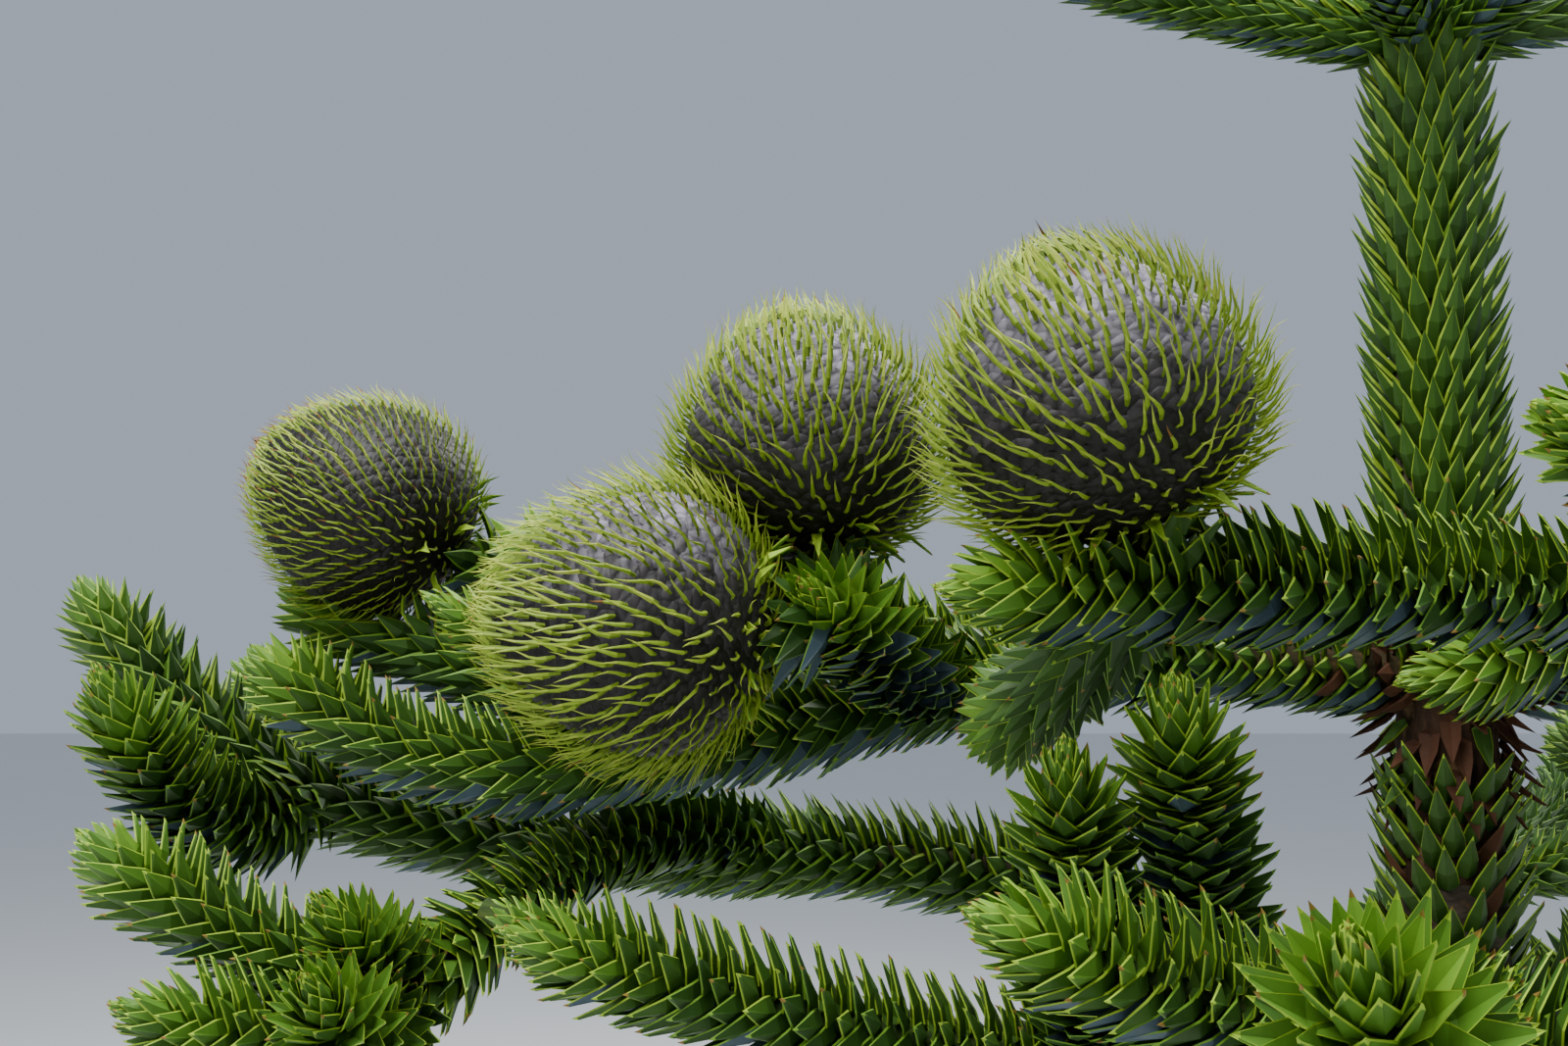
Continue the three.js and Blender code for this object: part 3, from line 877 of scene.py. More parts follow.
@dataclass(frozen=True)
class Skeleton:
    """The trunk's line and every bough and shoot, by the rule that the solids follow."""

    LETTERS = "abcde"
    WHORL_SEED = 1000
    BOUGH_SEED = 37

    height: float = 2.750
    lean: float = 0.014
    profile: tuple[tuple[float, float], ...] = (
        (0.0, 0.088),
        (0.040, 0.072),
        (0.120, 0.060),
        (0.330, 0.053),
        (1.180, 0.040),
        (1.530, 0.033),
        (1.977, 0.025),
        (2.380, 0.018),
        (2.720, 0.009),
    )
    bend_shares: tuple[float, float, float] = (0.33, 0.7, 1.0)
    pairs: tuple[tuple[float, float], ...] = ((0.44, 0.4), (0.68, 0.3))
    pair_spread: float = 0.06
    sweep: float = 58.0
    sweep_spread: float = 9.0
    shoot_shortest: float = 0.9
    shoot_spread: float = 0.2
    shoot_lift: float = 0.24
    shoot_sag: float = 0.012
    root_depth: float = 0.7
    gap: float = 0.0003
    limb_radii: tuple[float, float] = (0.017, 0.013)
    stem_radii: tuple[float, float] = (0.013, 0.007)
    shoot_radii: tuple[float, float] = (0.0085, 0.006)
    stalk_radius: float = 0.012
    stalk_bend: float = 0.014
    stem_size: float = 0.92
    shoot_size: float = 0.82
    slate_shares: tuple[float, ...] = (0.3, 0.3, 0.35, 0.9, 0.5, 0.5)

    def axis(self, heights: Array) -> Array:
        """The trunk's axis.

        Args:
            heights: Where.

        Returns:
            The axis's place at each height.
        """
        heights = np.asarray(heights, dtype=float)
        across = self.lean * (heights / self.height) ** 2
        return np.stack([across, np.zeros_like(heights), heights], axis=-1)

    def trunk_radius(self, heights: Array) -> Array:
        """The trunk's radius at these heights, before its flare's lobes."""
        return np.interp(heights, *zip(*self.profile))

    def _bough(self, whorl: Whorl, heading: float, plan: SetBough | None) -> Curve:
        """Grows a bough.

        Args:
            whorl: Its whorl.
            heading: Where it heads, in degrees from +X.
            plan: Its own plan, if it has one.

        Returns:
            Its curve, from the trunk's axis out.
        """
        root = self.axis(np.array(whorl.height))
        if plan:
            return Curve(root, *plan.bends)
        turn = math.radians(heading)
        out = np.array([math.cos(turn), math.sin(turn), 0.0])
        steps = zip(self.bend_shares, whorl.lifts)
        return Curve(root, *(root + out * whorl.reach * share + UP * lift for share, lift in steps))

    @staticmethod
    def _shoot(parent: Curve, at: float, tip: Array, sag: float) -> Curve:
        """A side shoot's curve, sagging on its way to its tip."""
        root = parent.place(at)
        return Curve(root, (root + tip) / 2 - UP * sag, tip)

    def _ruled(self, curve: Curve, whorl: Whorl, stream: Stream) -> dict[str, Curve]:
        """Grows the side shoots of a bough by the plain rule.

        Args:
            curve: The bough's curve.
            whorl: Its whorl.
            stream: The numbers that the solids are grown with.

        Returns:
            The side shoots' curves by name.
        """
        made = {}
        for at_share, long_share in self.pairs:
            for hand in (-1, 1):
                at = at_share + (stream.next() - 0.5) * self.pair_spread
                turn = math.radians(hand * (self.sweep + (stream.next() - 0.5) * 2 * self.sweep_spread))
                grown = self.shoot_shortest + self.shoot_spread * stream.next()
                length = long_share * whorl.reach * grown
                x, y, _ = unit(curve.tangents(np.array([at]))[0] * [1.0, 1.0, 0.0])
                cos, sin = math.cos(turn), math.sin(turn)
                swept = np.array([x * cos - y * sin, x * sin + y * cos, 0.0])
                tip = curve.place(at) + swept * length + UP * length * self.shoot_lift
                made[f"pair_{len(made)}"] = self._shoot(curve, at, tip, self.shoot_sag)
        return made

    def _listed(self, curve: Curve, plan: SetBough) -> dict[str, Curve]:
        """Grows the side shoots of a bough that has its own list.

        Args:
            curve: The bough's curve.
            plan: Its plan.

        Returns:
            The side shoots' curves by name.
        """
        made = {"stem": curve}
        for shoot in plan.shoots:
            made[shoot.name] = self._shoot(made[shoot.on], shoot.at, np.array(shoot.tip), shoot.sag)
        del made["stem"]
        return made

    def _dress_of(self, plan: SetBough | None, name: str, slate: float) -> tuple[float, float]:
        """How large a side shoot's leaves are, and what share of their undersides is slate.

        Args:
            plan: Its bough's own plan, if that has one.
            name: The shoot's name.
            slate: The whorl's own share of slate.

        Returns:
            The size and the share.
        """
        for shoot in plan.shoots if plan else ():
            if shoot.name == name:
                return shoot.size, slate if shoot.slate is None else shoot.slate
        return self.shoot_size, slate

    def _stalk(self, cone: ConePlan, shoot: Curve, slate: float) -> Stretch:
        """Grows the short stalk between a shoot and a cone.

        Args:
            cone: The cone's plan.
            shoot: The curve of its shoot.
            slate: The share of slate undersides.

        Returns:
            The stalk.
        """
        foot, axis = cone.foot()
        curve = Curve(shoot.place(cone.at), foot - axis * self.stalk_bend, foot)
        radii = (self.stalk_radius, self.stalk_radius)
        return Stretch(cone.bough, curve, 0.0, 1.0, *radii, False, False, self.shoot_size, slate)

    def grow(self) -> list[Stretch]:
        """Grows every bough.

        Returns:
            Every stretch of limb, stem, shoot and stalk.
        """
        stretches: list[Stretch] = []
        for level, whorl in enumerate(WHORLS, 1):
            for place, heading in enumerate(whorl.headings, 1):
                key = f"{level}{self.LETTERS[place - 1]}"
                plan = SET_BOUGHS.get(key)
                curve = self._bough(whorl, heading, plan)
                bare = plan.limb if plan else whorl.limb
                stream = Stream(self.WHORL_SEED * level + self.BOUGH_SEED * place)
                root = float(self.trunk_radius(whorl.height)) * self.root_depth / curve.length
                slate = self.slate_shares[level - 1]
                dress = (plan.size if plan else self.stem_size if bare > 0 else 1.0, slate)
                if bare > 0:
                    stretches.append(Stretch(key, curve, root, bare, *self.limb_radii, True, False, *dress))
                start = bare + self.gap / curve.length if bare > 0 else root
                stretches.append(Stretch(key, curve, start, 1.0, *self.stem_radii, False, True, *dress))
                if plan:
                    shoots = self._listed(curve, plan)
                else:
                    shoots = self._ruled(curve, whorl, stream) if bare > 0 else {}
                for name, shoot in shoots.items():
                    dress = self._dress_of(plan, name, slate)
                    stretches.append(Stretch(key, shoot, 0.0, 1.0, *self.shoot_radii, False, True, *dress))
                for cone in (cone for cone in CONES if cone.bough == key):
                    stretches.append(self._stalk(cone, shoots[cone.shoot], slate))
        return stretches


class Part(IntEnum):
    """The parts of a leaf's surface."""

    OUTER = 0
    INNER = 1
    EDGE = 2
    POINT = 3


@dataclass(frozen=True)
class LeafRing:
    """One ring of points round a leaf: across, through its thickness, and how deep in its fold, as shares."""

    points: tuple[Point, ...]
    parts: tuple[Part, ...]


MARGINED_RING = LeafRing(
    (
        (-1.0, 0.0, 0.0),
        (-0.93, 0.10, 0.15),
        (0.0, 0.0, 1.0),
        (0.93, 0.10, 0.15),
        (1.0, 0.0, 0.0),
        (0.94, -0.40, 0.13),
        (0.0, -1.0, 1.0),
        (-0.94, -0.40, 0.13),
    ),
    (Part.EDGE, Part.INNER, Part.INNER, Part.EDGE, Part.EDGE, Part.OUTER, Part.OUTER, Part.EDGE),
)
KEELED_RING = LeafRing(
    (
        (-1.0, 0.0, 0.0),
        (0.0, 0.0, 1.0),
        (1.0, 0.0, 0.0),
        (0.86, -0.6, 0.25),
        (0.0, -1.0, 1.0),
        (-0.86, -0.6, 0.25),
    ),
    (Part.INNER, Part.INNER, Part.EDGE, Part.OUTER, Part.OUTER, Part.EDGE),
)
FLAT_RING = LeafRing(
    ((-1.0, 0.0, 0.0), (1.0, 0.0, 0.0), (0.78, -1.0, 0.5), (-0.78, -1.0, 0.5)),
    (Part.INNER, Part.EDGE, Part.OUTER, Part.EDGE),
)


class LeafShape:
    """A closed leaf: stations along it, each a ring of points, with a point at its root and its tip."""

    CURL_POWER = 2.2

    def __init__(self, ring: LeafRing, stations: tuple[tuple[float, float], ...], has_point: bool) -> None:
        """Works out the leaf's points and faces.

        Args:
            ring: The points round the leaf at its widest.
            stations: Places along the leaf and how wide it is there, both from 0 to 1.
            has_point: Whether its last stretch is a dry point of its own.
        """
        rows = [self._row(0.0, (0.0, 0.0, 0.0), 1.0)]
        for along, wide in stations:
            rows.extend(self._row(along, point, wide) for point in ring.points)
        rows.append(self._row(1.0, (0.0, 0.0, 0.0), 1.0))
        self.points = np.array(rows)
        self._join(len(stations), list(ring.parts), has_point)

    def _row(self, along: float, point: Point, wide: float) -> tuple[float, ...]:
        """A point: along, across, through, folded, and how far the curl has gone there."""
        across, through, fold = point
        return along, across * wide, through, -fold * wide, along**self.CURL_POWER

    def _join(self, stations: int, parts: list[Part], has_point: bool) -> None:
        """Joins the rings by faces.

        Args:
            stations: How many rings there are.
            parts: The part of the surface that each side of a ring is of.
            has_point: Whether the last stretch is a dry point of its own.
        """
        size = len(parts)
        corner = np.arange(size)
        root_fan = np.stack([np.zeros(size, int), 1 + (corner + 1) % size, 1 + corner], axis=1)
        self.quads, tip_fan = joined_rings(size, stations, 1)
        self.triangles = np.concatenate([root_fan, tip_fan])
        self.triangle_parts = np.concatenate([parts, [Part.POINT] * size if has_point else parts])
        self.quad_parts = np.tile(parts, stations - 1)
        self.cost = len(self.triangles) + 2 * len(self.quads)


class Detail(Enum):
    """How finely a leaf is made, by how near the photograph's view it is."""

    NEAR = LeafShape(MARGINED_RING, ((0.12, 1.0), (0.46, 0.88), (0.93, 0.12)), True)
    MIDDLE = LeafShape(KEELED_RING, ((0.14, 1.0), (0.55, 0.76)), False)
    FAR = LeafShape(FLAT_RING, ((0.18, 0.95), (0.62, 0.62)), False)


@dataclass
class Leaves:
    """Many leaves: where each stands, which way it points, its size, and what its parts are made of."""

    FOLD = 0.23

    root: Array
    along: Array
    inward: Array
    length: Array
    width: Array
    thickness: Array
    curl: Array
    tones: Array

    def only(self, wanted: Array) -> "Leaves":
        """Those leaves that are wanted."""
        return Leaves(*(getattr(self, name)[wanted] for name in self.__dataclass_fields__))

    @staticmethod
    def joined(batches: list["Leaves"]) -> "Leaves":
        """Several batches as one."""
        names = Leaves.__dataclass_fields__
        return Leaves(*(np.concatenate([getattr(batch, name) for batch in batches]) for name in names))

    def __len__(self) -> int:
        """How many leaves there are."""
        return len(self.length)

    def tips(self) -> Array:
        """Where the leaves' tips are."""
        return self.root + (self.along + self.inward * self.curl[:, None]) * self.length[:, None]

    def add_to(self, parts: MeshParts, shape: LeafShape) -> None:
        """Adds the leaves' faces to a piece.

        Args:
            parts: The piece's parts.
            shape: How finely the leaves are made.
        """
        if not len(self):
            return
        along, across, through, fold, curl = shape.points.T
        side = np.cross(self.along, self.inward)
        lift = (self.length * self.curl)[:, None] * curl + self.thickness[:, None] * through
        lift = lift + (self.FOLD * self.width)[:, None] * fold
        places = (
            self.root[:, None]
            + self.along[:, None] * (self.length[:, None] * along)[..., None]
            + side[:, None] * (self.width[:, None] * 0.5 * across)[..., None]
            + self.inward[:, None] * lift[..., None]
        )
        blocks = copied(len(self), len(shape.points), shape.triangles, shape.quads)
        slots = [self.tones[:, shape.triangle_parts].ravel(), self.tones[:, shape.quad_parts].ravel()]
        parts.add(places, blocks, slots)


@dataclass(frozen=True)
class PhotoView:
    """The photograph's camera: 35 mm lens at eye height, pitched up a little."""

    place: Point = (-0.444, -1.040, 1.550)
    pitch: float = 5.0
    lens: float = 35.0
    sensor: float = 36.0
    width: int = 1600
    height: int = 1067
    clip_start: float = 0.02

    def build(self) -> None:
        """Makes the camera and sets it as the scene's."""
        data = bpy.data.cameras.new("camera")
        data.lens = self.lens
        data.sensor_width = self.sensor
        data.clip_start = self.clip_start
        camera = bpy.data.objects.new("camera", data)
        camera.location = self.place
        camera.rotation_euler = (math.radians(90.0 + self.pitch), 0.0, 0.0)
        bpy.context.scene.collection.objects.link(camera)
        bpy.context.scene.camera = camera

    def seen(self, places: Array, spare: float = 1.12) -> tuple[Array, Array]:
        """Which places the view takes in.

        Args:
            places: The places.
            spare: How much wider than the frame still counts.

        Returns:
            Whether each place is in view, and its depth.
        """
        offset = places - np.array(self.place)
        tilt = math.radians(self.pitch)
        depth = offset[:, 1] * math.cos(tilt) + offset[:, 2] * math.sin(tilt)
        rise = offset[:, 2] * math.cos(tilt) - offset[:, 1] * math.sin(tilt)
        half = self.sensor / 2 / self.lens * spare
        tall = half * self.height / self.width
        inside = (np.abs(offset[:, 0]) < half * depth) & (np.abs(rise) < tall * depth) & (depth > 0)
        return inside, depth


@dataclass(frozen=True)
class Habit:
    """How the leaves of one kind of shoot stand, in metres and degrees from the shoot's line."""

    PITCH_POWER = 0.8
    SIZE_POWER = 0.6

    length: float
    width: float
    spacing: float
    far_spacing: float
    pitch: float
    lift: float
    curl: float
    opening: float
    bud_pitch: float
    bud_size: float

    def pitch_at(self, opened: Array, full: Array | float) -> Array:
        """How steep leaves are that have opened this far, where open ones have the full pitch."""
        return self.bud_pitch + (full - self.bud_pitch) * opened**self.PITCH_POWER

    def size_at(self, opened: Array) -> Array:
        """How large leaves are that have opened this far, as a share of an open one."""
        return self.bud_size + (1 - self.bud_size) * opened**self.SIZE_POWER


BOUGH_HABIT = Habit(0.047, 0.0192, 0.00124, 0.00245, 74.0, 26.0, 0.22, 0.046, 10.0, 0.56)
YOUNG_HABIT = Habit(0.036, 0.0130, 0.00110, 0.00210, 35.0, 4.0, 0.06, 0.034, 9.0, 0.50)
LEADER_HABIT = Habit(0.046, 0.0172, 0.00104, 0.00104, 42.0, 0.0, 0.10, 0.080, 8.0, 0.34)


@dataclass(frozen=True)
class ToneRule:
    """How tones are dealt out: what a leaf's brightness hangs on, and from where each other tone starts."""

    base: float = 0.84
    # Painted light: leaves that face up are dealt lighter tones.
    by_upness: float = 0.45
    by_youth: float = 1.6
    spread: float = 0.5
    steps: tuple[float, float, float] = (0.78, 1.62, 2.38)
    slate_until: float = 0.55
    slate_from: tuple[float, float] = (0.05, 0.3)
    under_from: tuple[float, float] = (0.5, 0.3)
    point_share: float = 0.28


@dataclass(frozen=True)
class Uneven:
    """How much leaves differ by chance, as standard deviations: angles in radians, pitch in degrees."""

    turn: float = 0.05
    pitch: float = 2.5
    size: float = 0.035
    tone_shift: float = 0.18
    twist: float = 0.07
    width: float = 0.04
    curl: float = 0.025
    leader_turn: float = 0.03
    leader_pitch: float = 2.0


@dataclass(frozen=True)
class Collar:
    """The bright bracts that curl back round a cone's foot: how many, and the ranges that they vary in."""

    count: int = 13
    rise: tuple[float, float] = (-0.94, -0.82)
    pitch: tuple[float, float] = (80.0, 112.0)
    length: tuple[float, float] = (0.018, 0.025)
    width: tuple[float, float] = (0.0065, 0.0080)
    curl: tuple[float, float] = (-0.75, -0.35)
    # Painted sunlight: the bracts get bright young and margin greens.
    tones: tuple[Tone, ...] = (Tone.YOUNG, Tone.MARGIN, Tone.MARGIN, Tone.POINT)


@dataclass
class Stand:
    """Leaves as they stand on a shoot: where, which way, how steep and large, how young, rusty and blue, and
    how far their tones shift, which also carries painted shade.
    """

    places: Array
    along: Array
    out: Array
    pitch: Array
    size: Array
    radius: Array
    youth: Array
    rust: Array
    slate: float
    tone_shift: float


@dataclass(frozen=True)
class Foliage:
    """The leaves of every bough and of the leader, grown in golden-angle order."""

    ORDER_STEPS = 240
    STRETCH_SEED = 100
    COLLAR_SEED = 60
    LEADER_SEED = 7

    view: PhotoView
    skeleton: Skeleton
    rule: ToneRule = ToneRule()
    uneven: Uneven = Uneven()
    collar: Collar = Collar()
    thickness: float = 0.0016
    width_power: float = 0.8
    crowding: float = 1.0
    crowded_reach: float = 1.5
    bud_inset: float = 0.006
    near_depth: float = 1.02
    middle_depth: float = 1.75
    looked_at: tuple[float, ...] = (0.3, 0.6, 1.0)
    edge_spare: float = 1.3
    young_from: int = 5
    young_reach: float = 0.11
    # Painted shade: leaves on the whorls below this one are dealt darker tones.
    shaded_below: int = 4
    shade: float = 0.32
    upright_from: float = 0.25
    season_swing: float = 0.06
    season_length: float = 0.21
    sunk_share: float = 0.6
    rust_share: float = 0.6
    rust_reach: tuple[float, float] = (0.040, 0.085)
    leader_from: float = 1.240
    leader_youth: float = 0.15
    leader_vigour: float = 0.15
    leader_sunk: float = 0.8
    scar: tuple[float, float] = (1.462, 1.545)
    scar_pitch: tuple[float, float] = (122.0, 166.0)
    scar_size: float = 0.75
    scar_rust: float = 0.85
    scar_kept: float = 0.80
    old_size: float = 0.86
    old_rust: float = 0.06
    old_kept: float = 0.90
    clear_shares: tuple[float, ...] = (0.4, 0.75, 1.0)
    clear_from: float = 0.97
    piece_limit: int = 190000

    def _tones(self, random: np.random.Generator, stand: Stand) -> Array:
        """Deals out the tones of each leaf's outer face, inner face, edge and point: its own colour, and
        painted light and shade.

        Args:
            random: The stream of numbers.
            stand: How the leaves stand.

        Returns:
            A row of four tones for each leaf.
        """
        rule = self.rule
        upness = stand.out @ UP
        draw = random.random((5, len(stand.size)))
        # Painted light and shade: leaves facing up score lighter, and the stand's shift also darkens the
        # lower whorls as painted shade; youth and chance are the leaves' own colour.
        score = rule.base + rule.by_upness * upness + rule.by_youth * stand.youth + stand.tone_shift
        blade = np.digitize(score + rule.spread * (draw[0] - 0.5), rule.steps)
        # Slate on the leaves that hang: partly their own glaucous colour, partly painted sky reflection in
        # their shade; those hanging steepest get it on their outer face too.
        hanging = upness < rule.slate_from[0] - rule.slate_from[1] * draw[1]
        hanging &= (stand.youth < rule.slate_until) & (draw[4] < stand.slate)
        inner = np.where(hanging, Tone.SLATE, blade)
        # Margins of the darkest blades are dimmer, as painted shade along with the blade's own dark colour.
        edge = np.where(blade == Tone.DEEP, Tone.YOUNG, Tone.MARGIN)
        point = np.where(draw[2] < rule.point_share, Tone.POINT, edge)
        under = hanging & (upness < -rule.under_from[0] - rule.under_from[1] * draw[0])
        outer = np.where(under, Tone.SLATE, blade)
        tones = np.stack([outer, inner, edge, point], axis=1)
        tones[draw[3] < stand.rust] = Tone.RUST
        return tones

    def _order(self, span: float, spacing: float, crowded: float) -> Array:
        """Where leaves stand along a stretch, from 0 to 1, closer together over its last part.

        Args:
            span: The stretch's length.
            spacing: How far apart they are along it, where they aren't crowded.
            crowded: How long the crowded end is, or 0 for none.

        Returns:
            Their places, as shares of the stretch.
        """
        steps = np.linspace(0.0, 1.0, self.ORDER_STEPS)
        density = np.ones(self.ORDER_STEPS)
        if crowded > 0:
            density = density + self.crowding * (1 - smooth(0.0, crowded, span * (1 - steps)))
        total = np.concatenate(([0.0], np.cumsum((density[1:] + density[:-1]) / 2))) / (self.ORDER_STEPS - 1)
        count = max(1, round(total[-1] * span / spacing))
        return np.interp((np.arange(count) + 0.5) / count, total / total[-1], steps)

    def _on_stretch(self, stretch: Stretch, seed: int) -> Leaves:
        """Grows the leaves of one stretch.

        Args:
            stretch: The stretch.
            seed: What its random stream starts from.

        Returns:
            Its leaves.
        """
        random = np.random.default_rng(seed)
        uneven = self.uneven
        whorl = int(stretch.key[0])
        habit = YOUNG_HABIT if whorl >= self.young_from else BOUGH_HABIT
        length = stretch.curve.length
        span = (stretch.end - stretch.start) * length
        inside, depth = self.view.seen(stretch.curve.places(np.array(self.looked_at)), self.edge_spare)
        spacing = habit.spacing if np.any(inside & (depth < self.middle_depth)) else habit.far_spacing
        order = self._order(span, spacing, self.crowded_reach * habit.opening if stretch.has_tip else 0.0)
        count = len(order)
        bound = stretch.end - self.bud_inset / length if stretch.has_tip else stretch.end
        shares = stretch.start + (bound - stretch.start) * order
        along, side, other = stretch.curve.frames(shares)
        out = around(side, other, np.arange(count) * GOLDEN_ANGLE + random.normal(0.0, uneven.turn, count))
        to_tip = (bound - shares) * length
        opened = smooth(0.0, habit.opening, to_tip) if stretch.has_tip else np.ones(count)
        full_pitch = habit.pitch + habit.lift * np.minimum(out @ UP, self.upright_from)
        season = 1.0 + self.season_swing * np.sin(shares * length * 2 * math.pi / self.season_length + seed)
        size = stretch.size * habit.size_at(opened) * season * random.normal(1.0, uneven.size, count)
        taper = stretch.root + (stretch.tip - stretch.root) * order
        from_trunk = shares * length if stretch.is_limb else np.ones(count)
        # Painted shade on the lower whorls, taken off the random shift of tones.
        shade = self.shade if whorl < self.shaded_below else 0.0
        stand = Stand(
            places=stretch.curve.places(shares),
            along=along,
            out=out,
            pitch=habit.pitch_at(opened, full_pitch) + random.normal(0.0, uneven.pitch, count),
            size=size,
            radius=taper * self.sunk_share * opened,
            youth=1.0 - smooth(0.0, self.young_reach, to_tip) if stretch.has_tip else np.zeros(count),
            rust=self.rust_share * (1 - smooth(*self.rust_reach, from_trunk)),
            slate=stretch.slate,
            tone_shift=float(random.normal(0.0, uneven.tone_shift)) - shade,
        )
        return self._stood(stand, habit, random)

    def _stood(self, stand: Stand, habit: Habit, random: np.random.Generator) -> Leaves:
        """Turns leaves as they stand into leaves with sizes, directions and tones.

        Args:
            stand: How they stand.
            habit: The habit of their shoot.
            random: The stream of numbers.

        Returns:
            The leaves.
        """
        count = len(stand.size)
        uneven = self.uneven
        pitch = np.radians(stand.pitch)[:, None]
        direction = stand.along * np.cos(pitch) + stand.out * np.sin(pitch)
        inward = stand.along * np.sin(pitch) - stand.out * np.cos(pitch)
        inward = unit(inward + np.cross(direction, inward) * random.normal(0.0, uneven.twist, count)[:, None])
        return Leaves(
            root=stand.places + stand.out * stand.radius[:, None],
            along=direction,
            inward=inward,
            length=habit.length * stand.size,
            width=habit.width * stand.size**self.width_power * random.normal(1.0, uneven.width, count),
            thickness=self.thickness * np.sqrt(stand.size),
            curl=habit.curl + random.normal(0.0, uneven.curl, count),
            tones=self._tones(random, stand),
        )

    def _on_leader(self) -> Leaves:
        """Grows the leaves of the trunk's clad part.

        Returns:
            The leaves: old ones below, rusty hanging ones in a whorl's scar, and fresh ones above it.
        """
        random = np.random.default_rng(self.LEADER_SEED)
        habit = LEADER_HABIT
        uneven = self.uneven
        top = self.skeleton.height - self.bud_inset
        span = top - self.leader_from
        order = self._order(span, habit.spacing, self.crowded_reach * habit.opening)
        count = len(order)
        heights = self.leader_from + span * order
        turns = np.arange(count) * GOLDEN_ANGLE + random.normal(0.0, uneven.leader_turn, count)
        to_tip = top - heights
        opened = smooth(0.0, habit.opening, to_tip)
        low, high = self.scar
        scarred = (heights > low) & (heights < high)
        old = heights < low
        hanging = random.uniform(*self.scar_pitch, count)
        pitch = np.where(scarred, hanging, habit.pitch_at(opened, habit.pitch))
        pitch = pitch + random.normal(0.0, uneven.leader_pitch, count)
        grown = habit.size_at(opened) * random.normal(1.0, uneven.size, count)
        stand = Stand(
            places=self.skeleton.axis(heights),
            along=np.tile(UP, (count, 1)),
            out=around(EAST, NORTH, turns),
            pitch=pitch,
            size=grown * np.where(old, self.old_size, 1.0) * np.where(scarred, self.scar_size, 1.0),
            radius=self.skeleton.trunk_radius(heights) * np.where(scarred, 1.0, self.leader_sunk) * opened,
            youth=1.0 - smooth(0.0, self.leader_youth, to_tip),
            rust=np.where(scarred, self.scar_rust, np.where(old, self.old_rust, 0.0)),
            slate=0.0,
            tone_shift=self.leader_vigour,
        )
        leaves = self._stood(stand, habit, random)
        kept = np.where(scarred, self.scar_kept, np.where(old, self.old_kept, 1.0))
        return leaves.only(random.random(count) < kept)

    def _on_foot(self, plan: ConePlan, seed: int) -> Leaves:
        """Grows the bright bracts round a cone's foot.

        Args:
            plan: The cone.
            seed: What its random stream starts from.

        Returns:
            The bracts.
        """
        random = np.random.default_rng(seed)
        collar = self.collar
        count = collar.count
        axis, out = plan.ring(np.arange(count) * GOLDEN_ANGLE)
        rise = random.uniform(*collar.rise, count)
        pitch = np.radians(random.uniform(*collar.pitch, count))[:, None]
        return Leaves(
            root=np.array(plan.centre) + axis * (rise * plan.half)[:, None] + out * plan.girth(rise)[:, None],
            along=axis * np.cos(pitch) + out * np.sin(pitch),
            inward=axis * np.sin(pitch) - out * np.cos(pitch),
            length=random.uniform(*collar.length, count),
            width=random.uniform(*collar.width, count),
            thickness=np.full(count, self.thickness),
            curl=random.uniform(*collar.curl, count),
            tones=np.tile(collar.tones, (count, 1)),
        )

    def _clear(self, leaves: Leaves, cones: tuple[ConePlan, ...]) -> Leaves:
        """Leaves out those that would run into a cone.

        Args:
            leaves: The leaves.
            cones: The cones.

        Returns:
            The leaves that are clear of them.
        """
        keep = np.ones(len(leaves), bool)
        for plan in cones:
            axis = unit(np.array(plan.axis))
            for share in self.clear_shares:
                places = leaves.root + (leaves.tips() - leaves.root) * share - np.array(plan.centre)
                height = places @ axis
                across = np.linalg.norm(places - height[:, None] * axis, axis=1)
                keep &= (height / plan.half) ** 2 + (across / plan.across) ** 2 > self.clear_from
        return leaves.only(keep)

    def _finish(self, name: str, leaves: Leaves, materials: Materials, nodes: list[str]) -> None:
        """Makes the pieces of one lot of leaves, each within the limit on triangles.

        Args:
            name: The lot's name, which each piece's number follows.
            leaves: The leaves.
            materials: The leaf finishes, in the order of their tones.
            nodes: The solids that the pieces replace.
        """
        inside, depth = self.view.seen(leaves.root)
        near = inside & (depth < self.near_depth)
        middle = inside & (depth < self.middle_depth) & ~near
        far = ~near & ~middle
        lots = ((near, Detail.NEAR.value), (middle, Detail.MIDDLE.value), (far, Detail.FAR.value))
        costs = sum(wanted * shape.cost for wanted, shape in lots)
        batch = np.cumsum(costs) // self.piece_limit
        for number in range(int(batch[-1]) + 1):
            parts = MeshParts()
            for wanted, shape in lots:
                leaves.only(wanted & (batch == number)).add_to(parts, shape)
            piece = parts.piece(f"{name}_{number + 1}", materials, False)
            attach(piece, "leaf", *nodes)

    def build(self, stretches: list[Stretch], cones: tuple[ConePlan, ...]) -> None:
        """Grows and makes all the leaves.

        Args:
            stretches: Every stretch of limb, stem, shoot and stalk.
            cones: The cones that the leaves keep clear of.
        """
        materials = [LEAF_FINISHES[tone].build() for tone in Tone]
        seeded = list(enumerate(stretches, self.STRETCH_SEED))
        feet = list(enumerate(cones, self.COLLAR_SEED))
        for whorl in (str(number + 1) for number in range(len(WHORLS))):
            own = [(seed, stretch) for seed, stretch in seeded if stretch.key[0] == whorl]
            grown = Leaves.joined([self._on_stretch(stretch, seed) for seed, stretch in own])
            batches = [self._clear(grown, cones)]
            batches += [self._on_foot(cone, seed) for seed, cone in feet if cone.bough[0] == whorl]
            nodes = sorted({f"foliage_{stretch.key}" for _, stretch in own})
            self._finish(f"leaves_{whorl}", Leaves.joined(batches), materials, nodes)
        self._finish("leaves_leader", self._clear(self._on_leader(), cones), materials, ["trunk"])


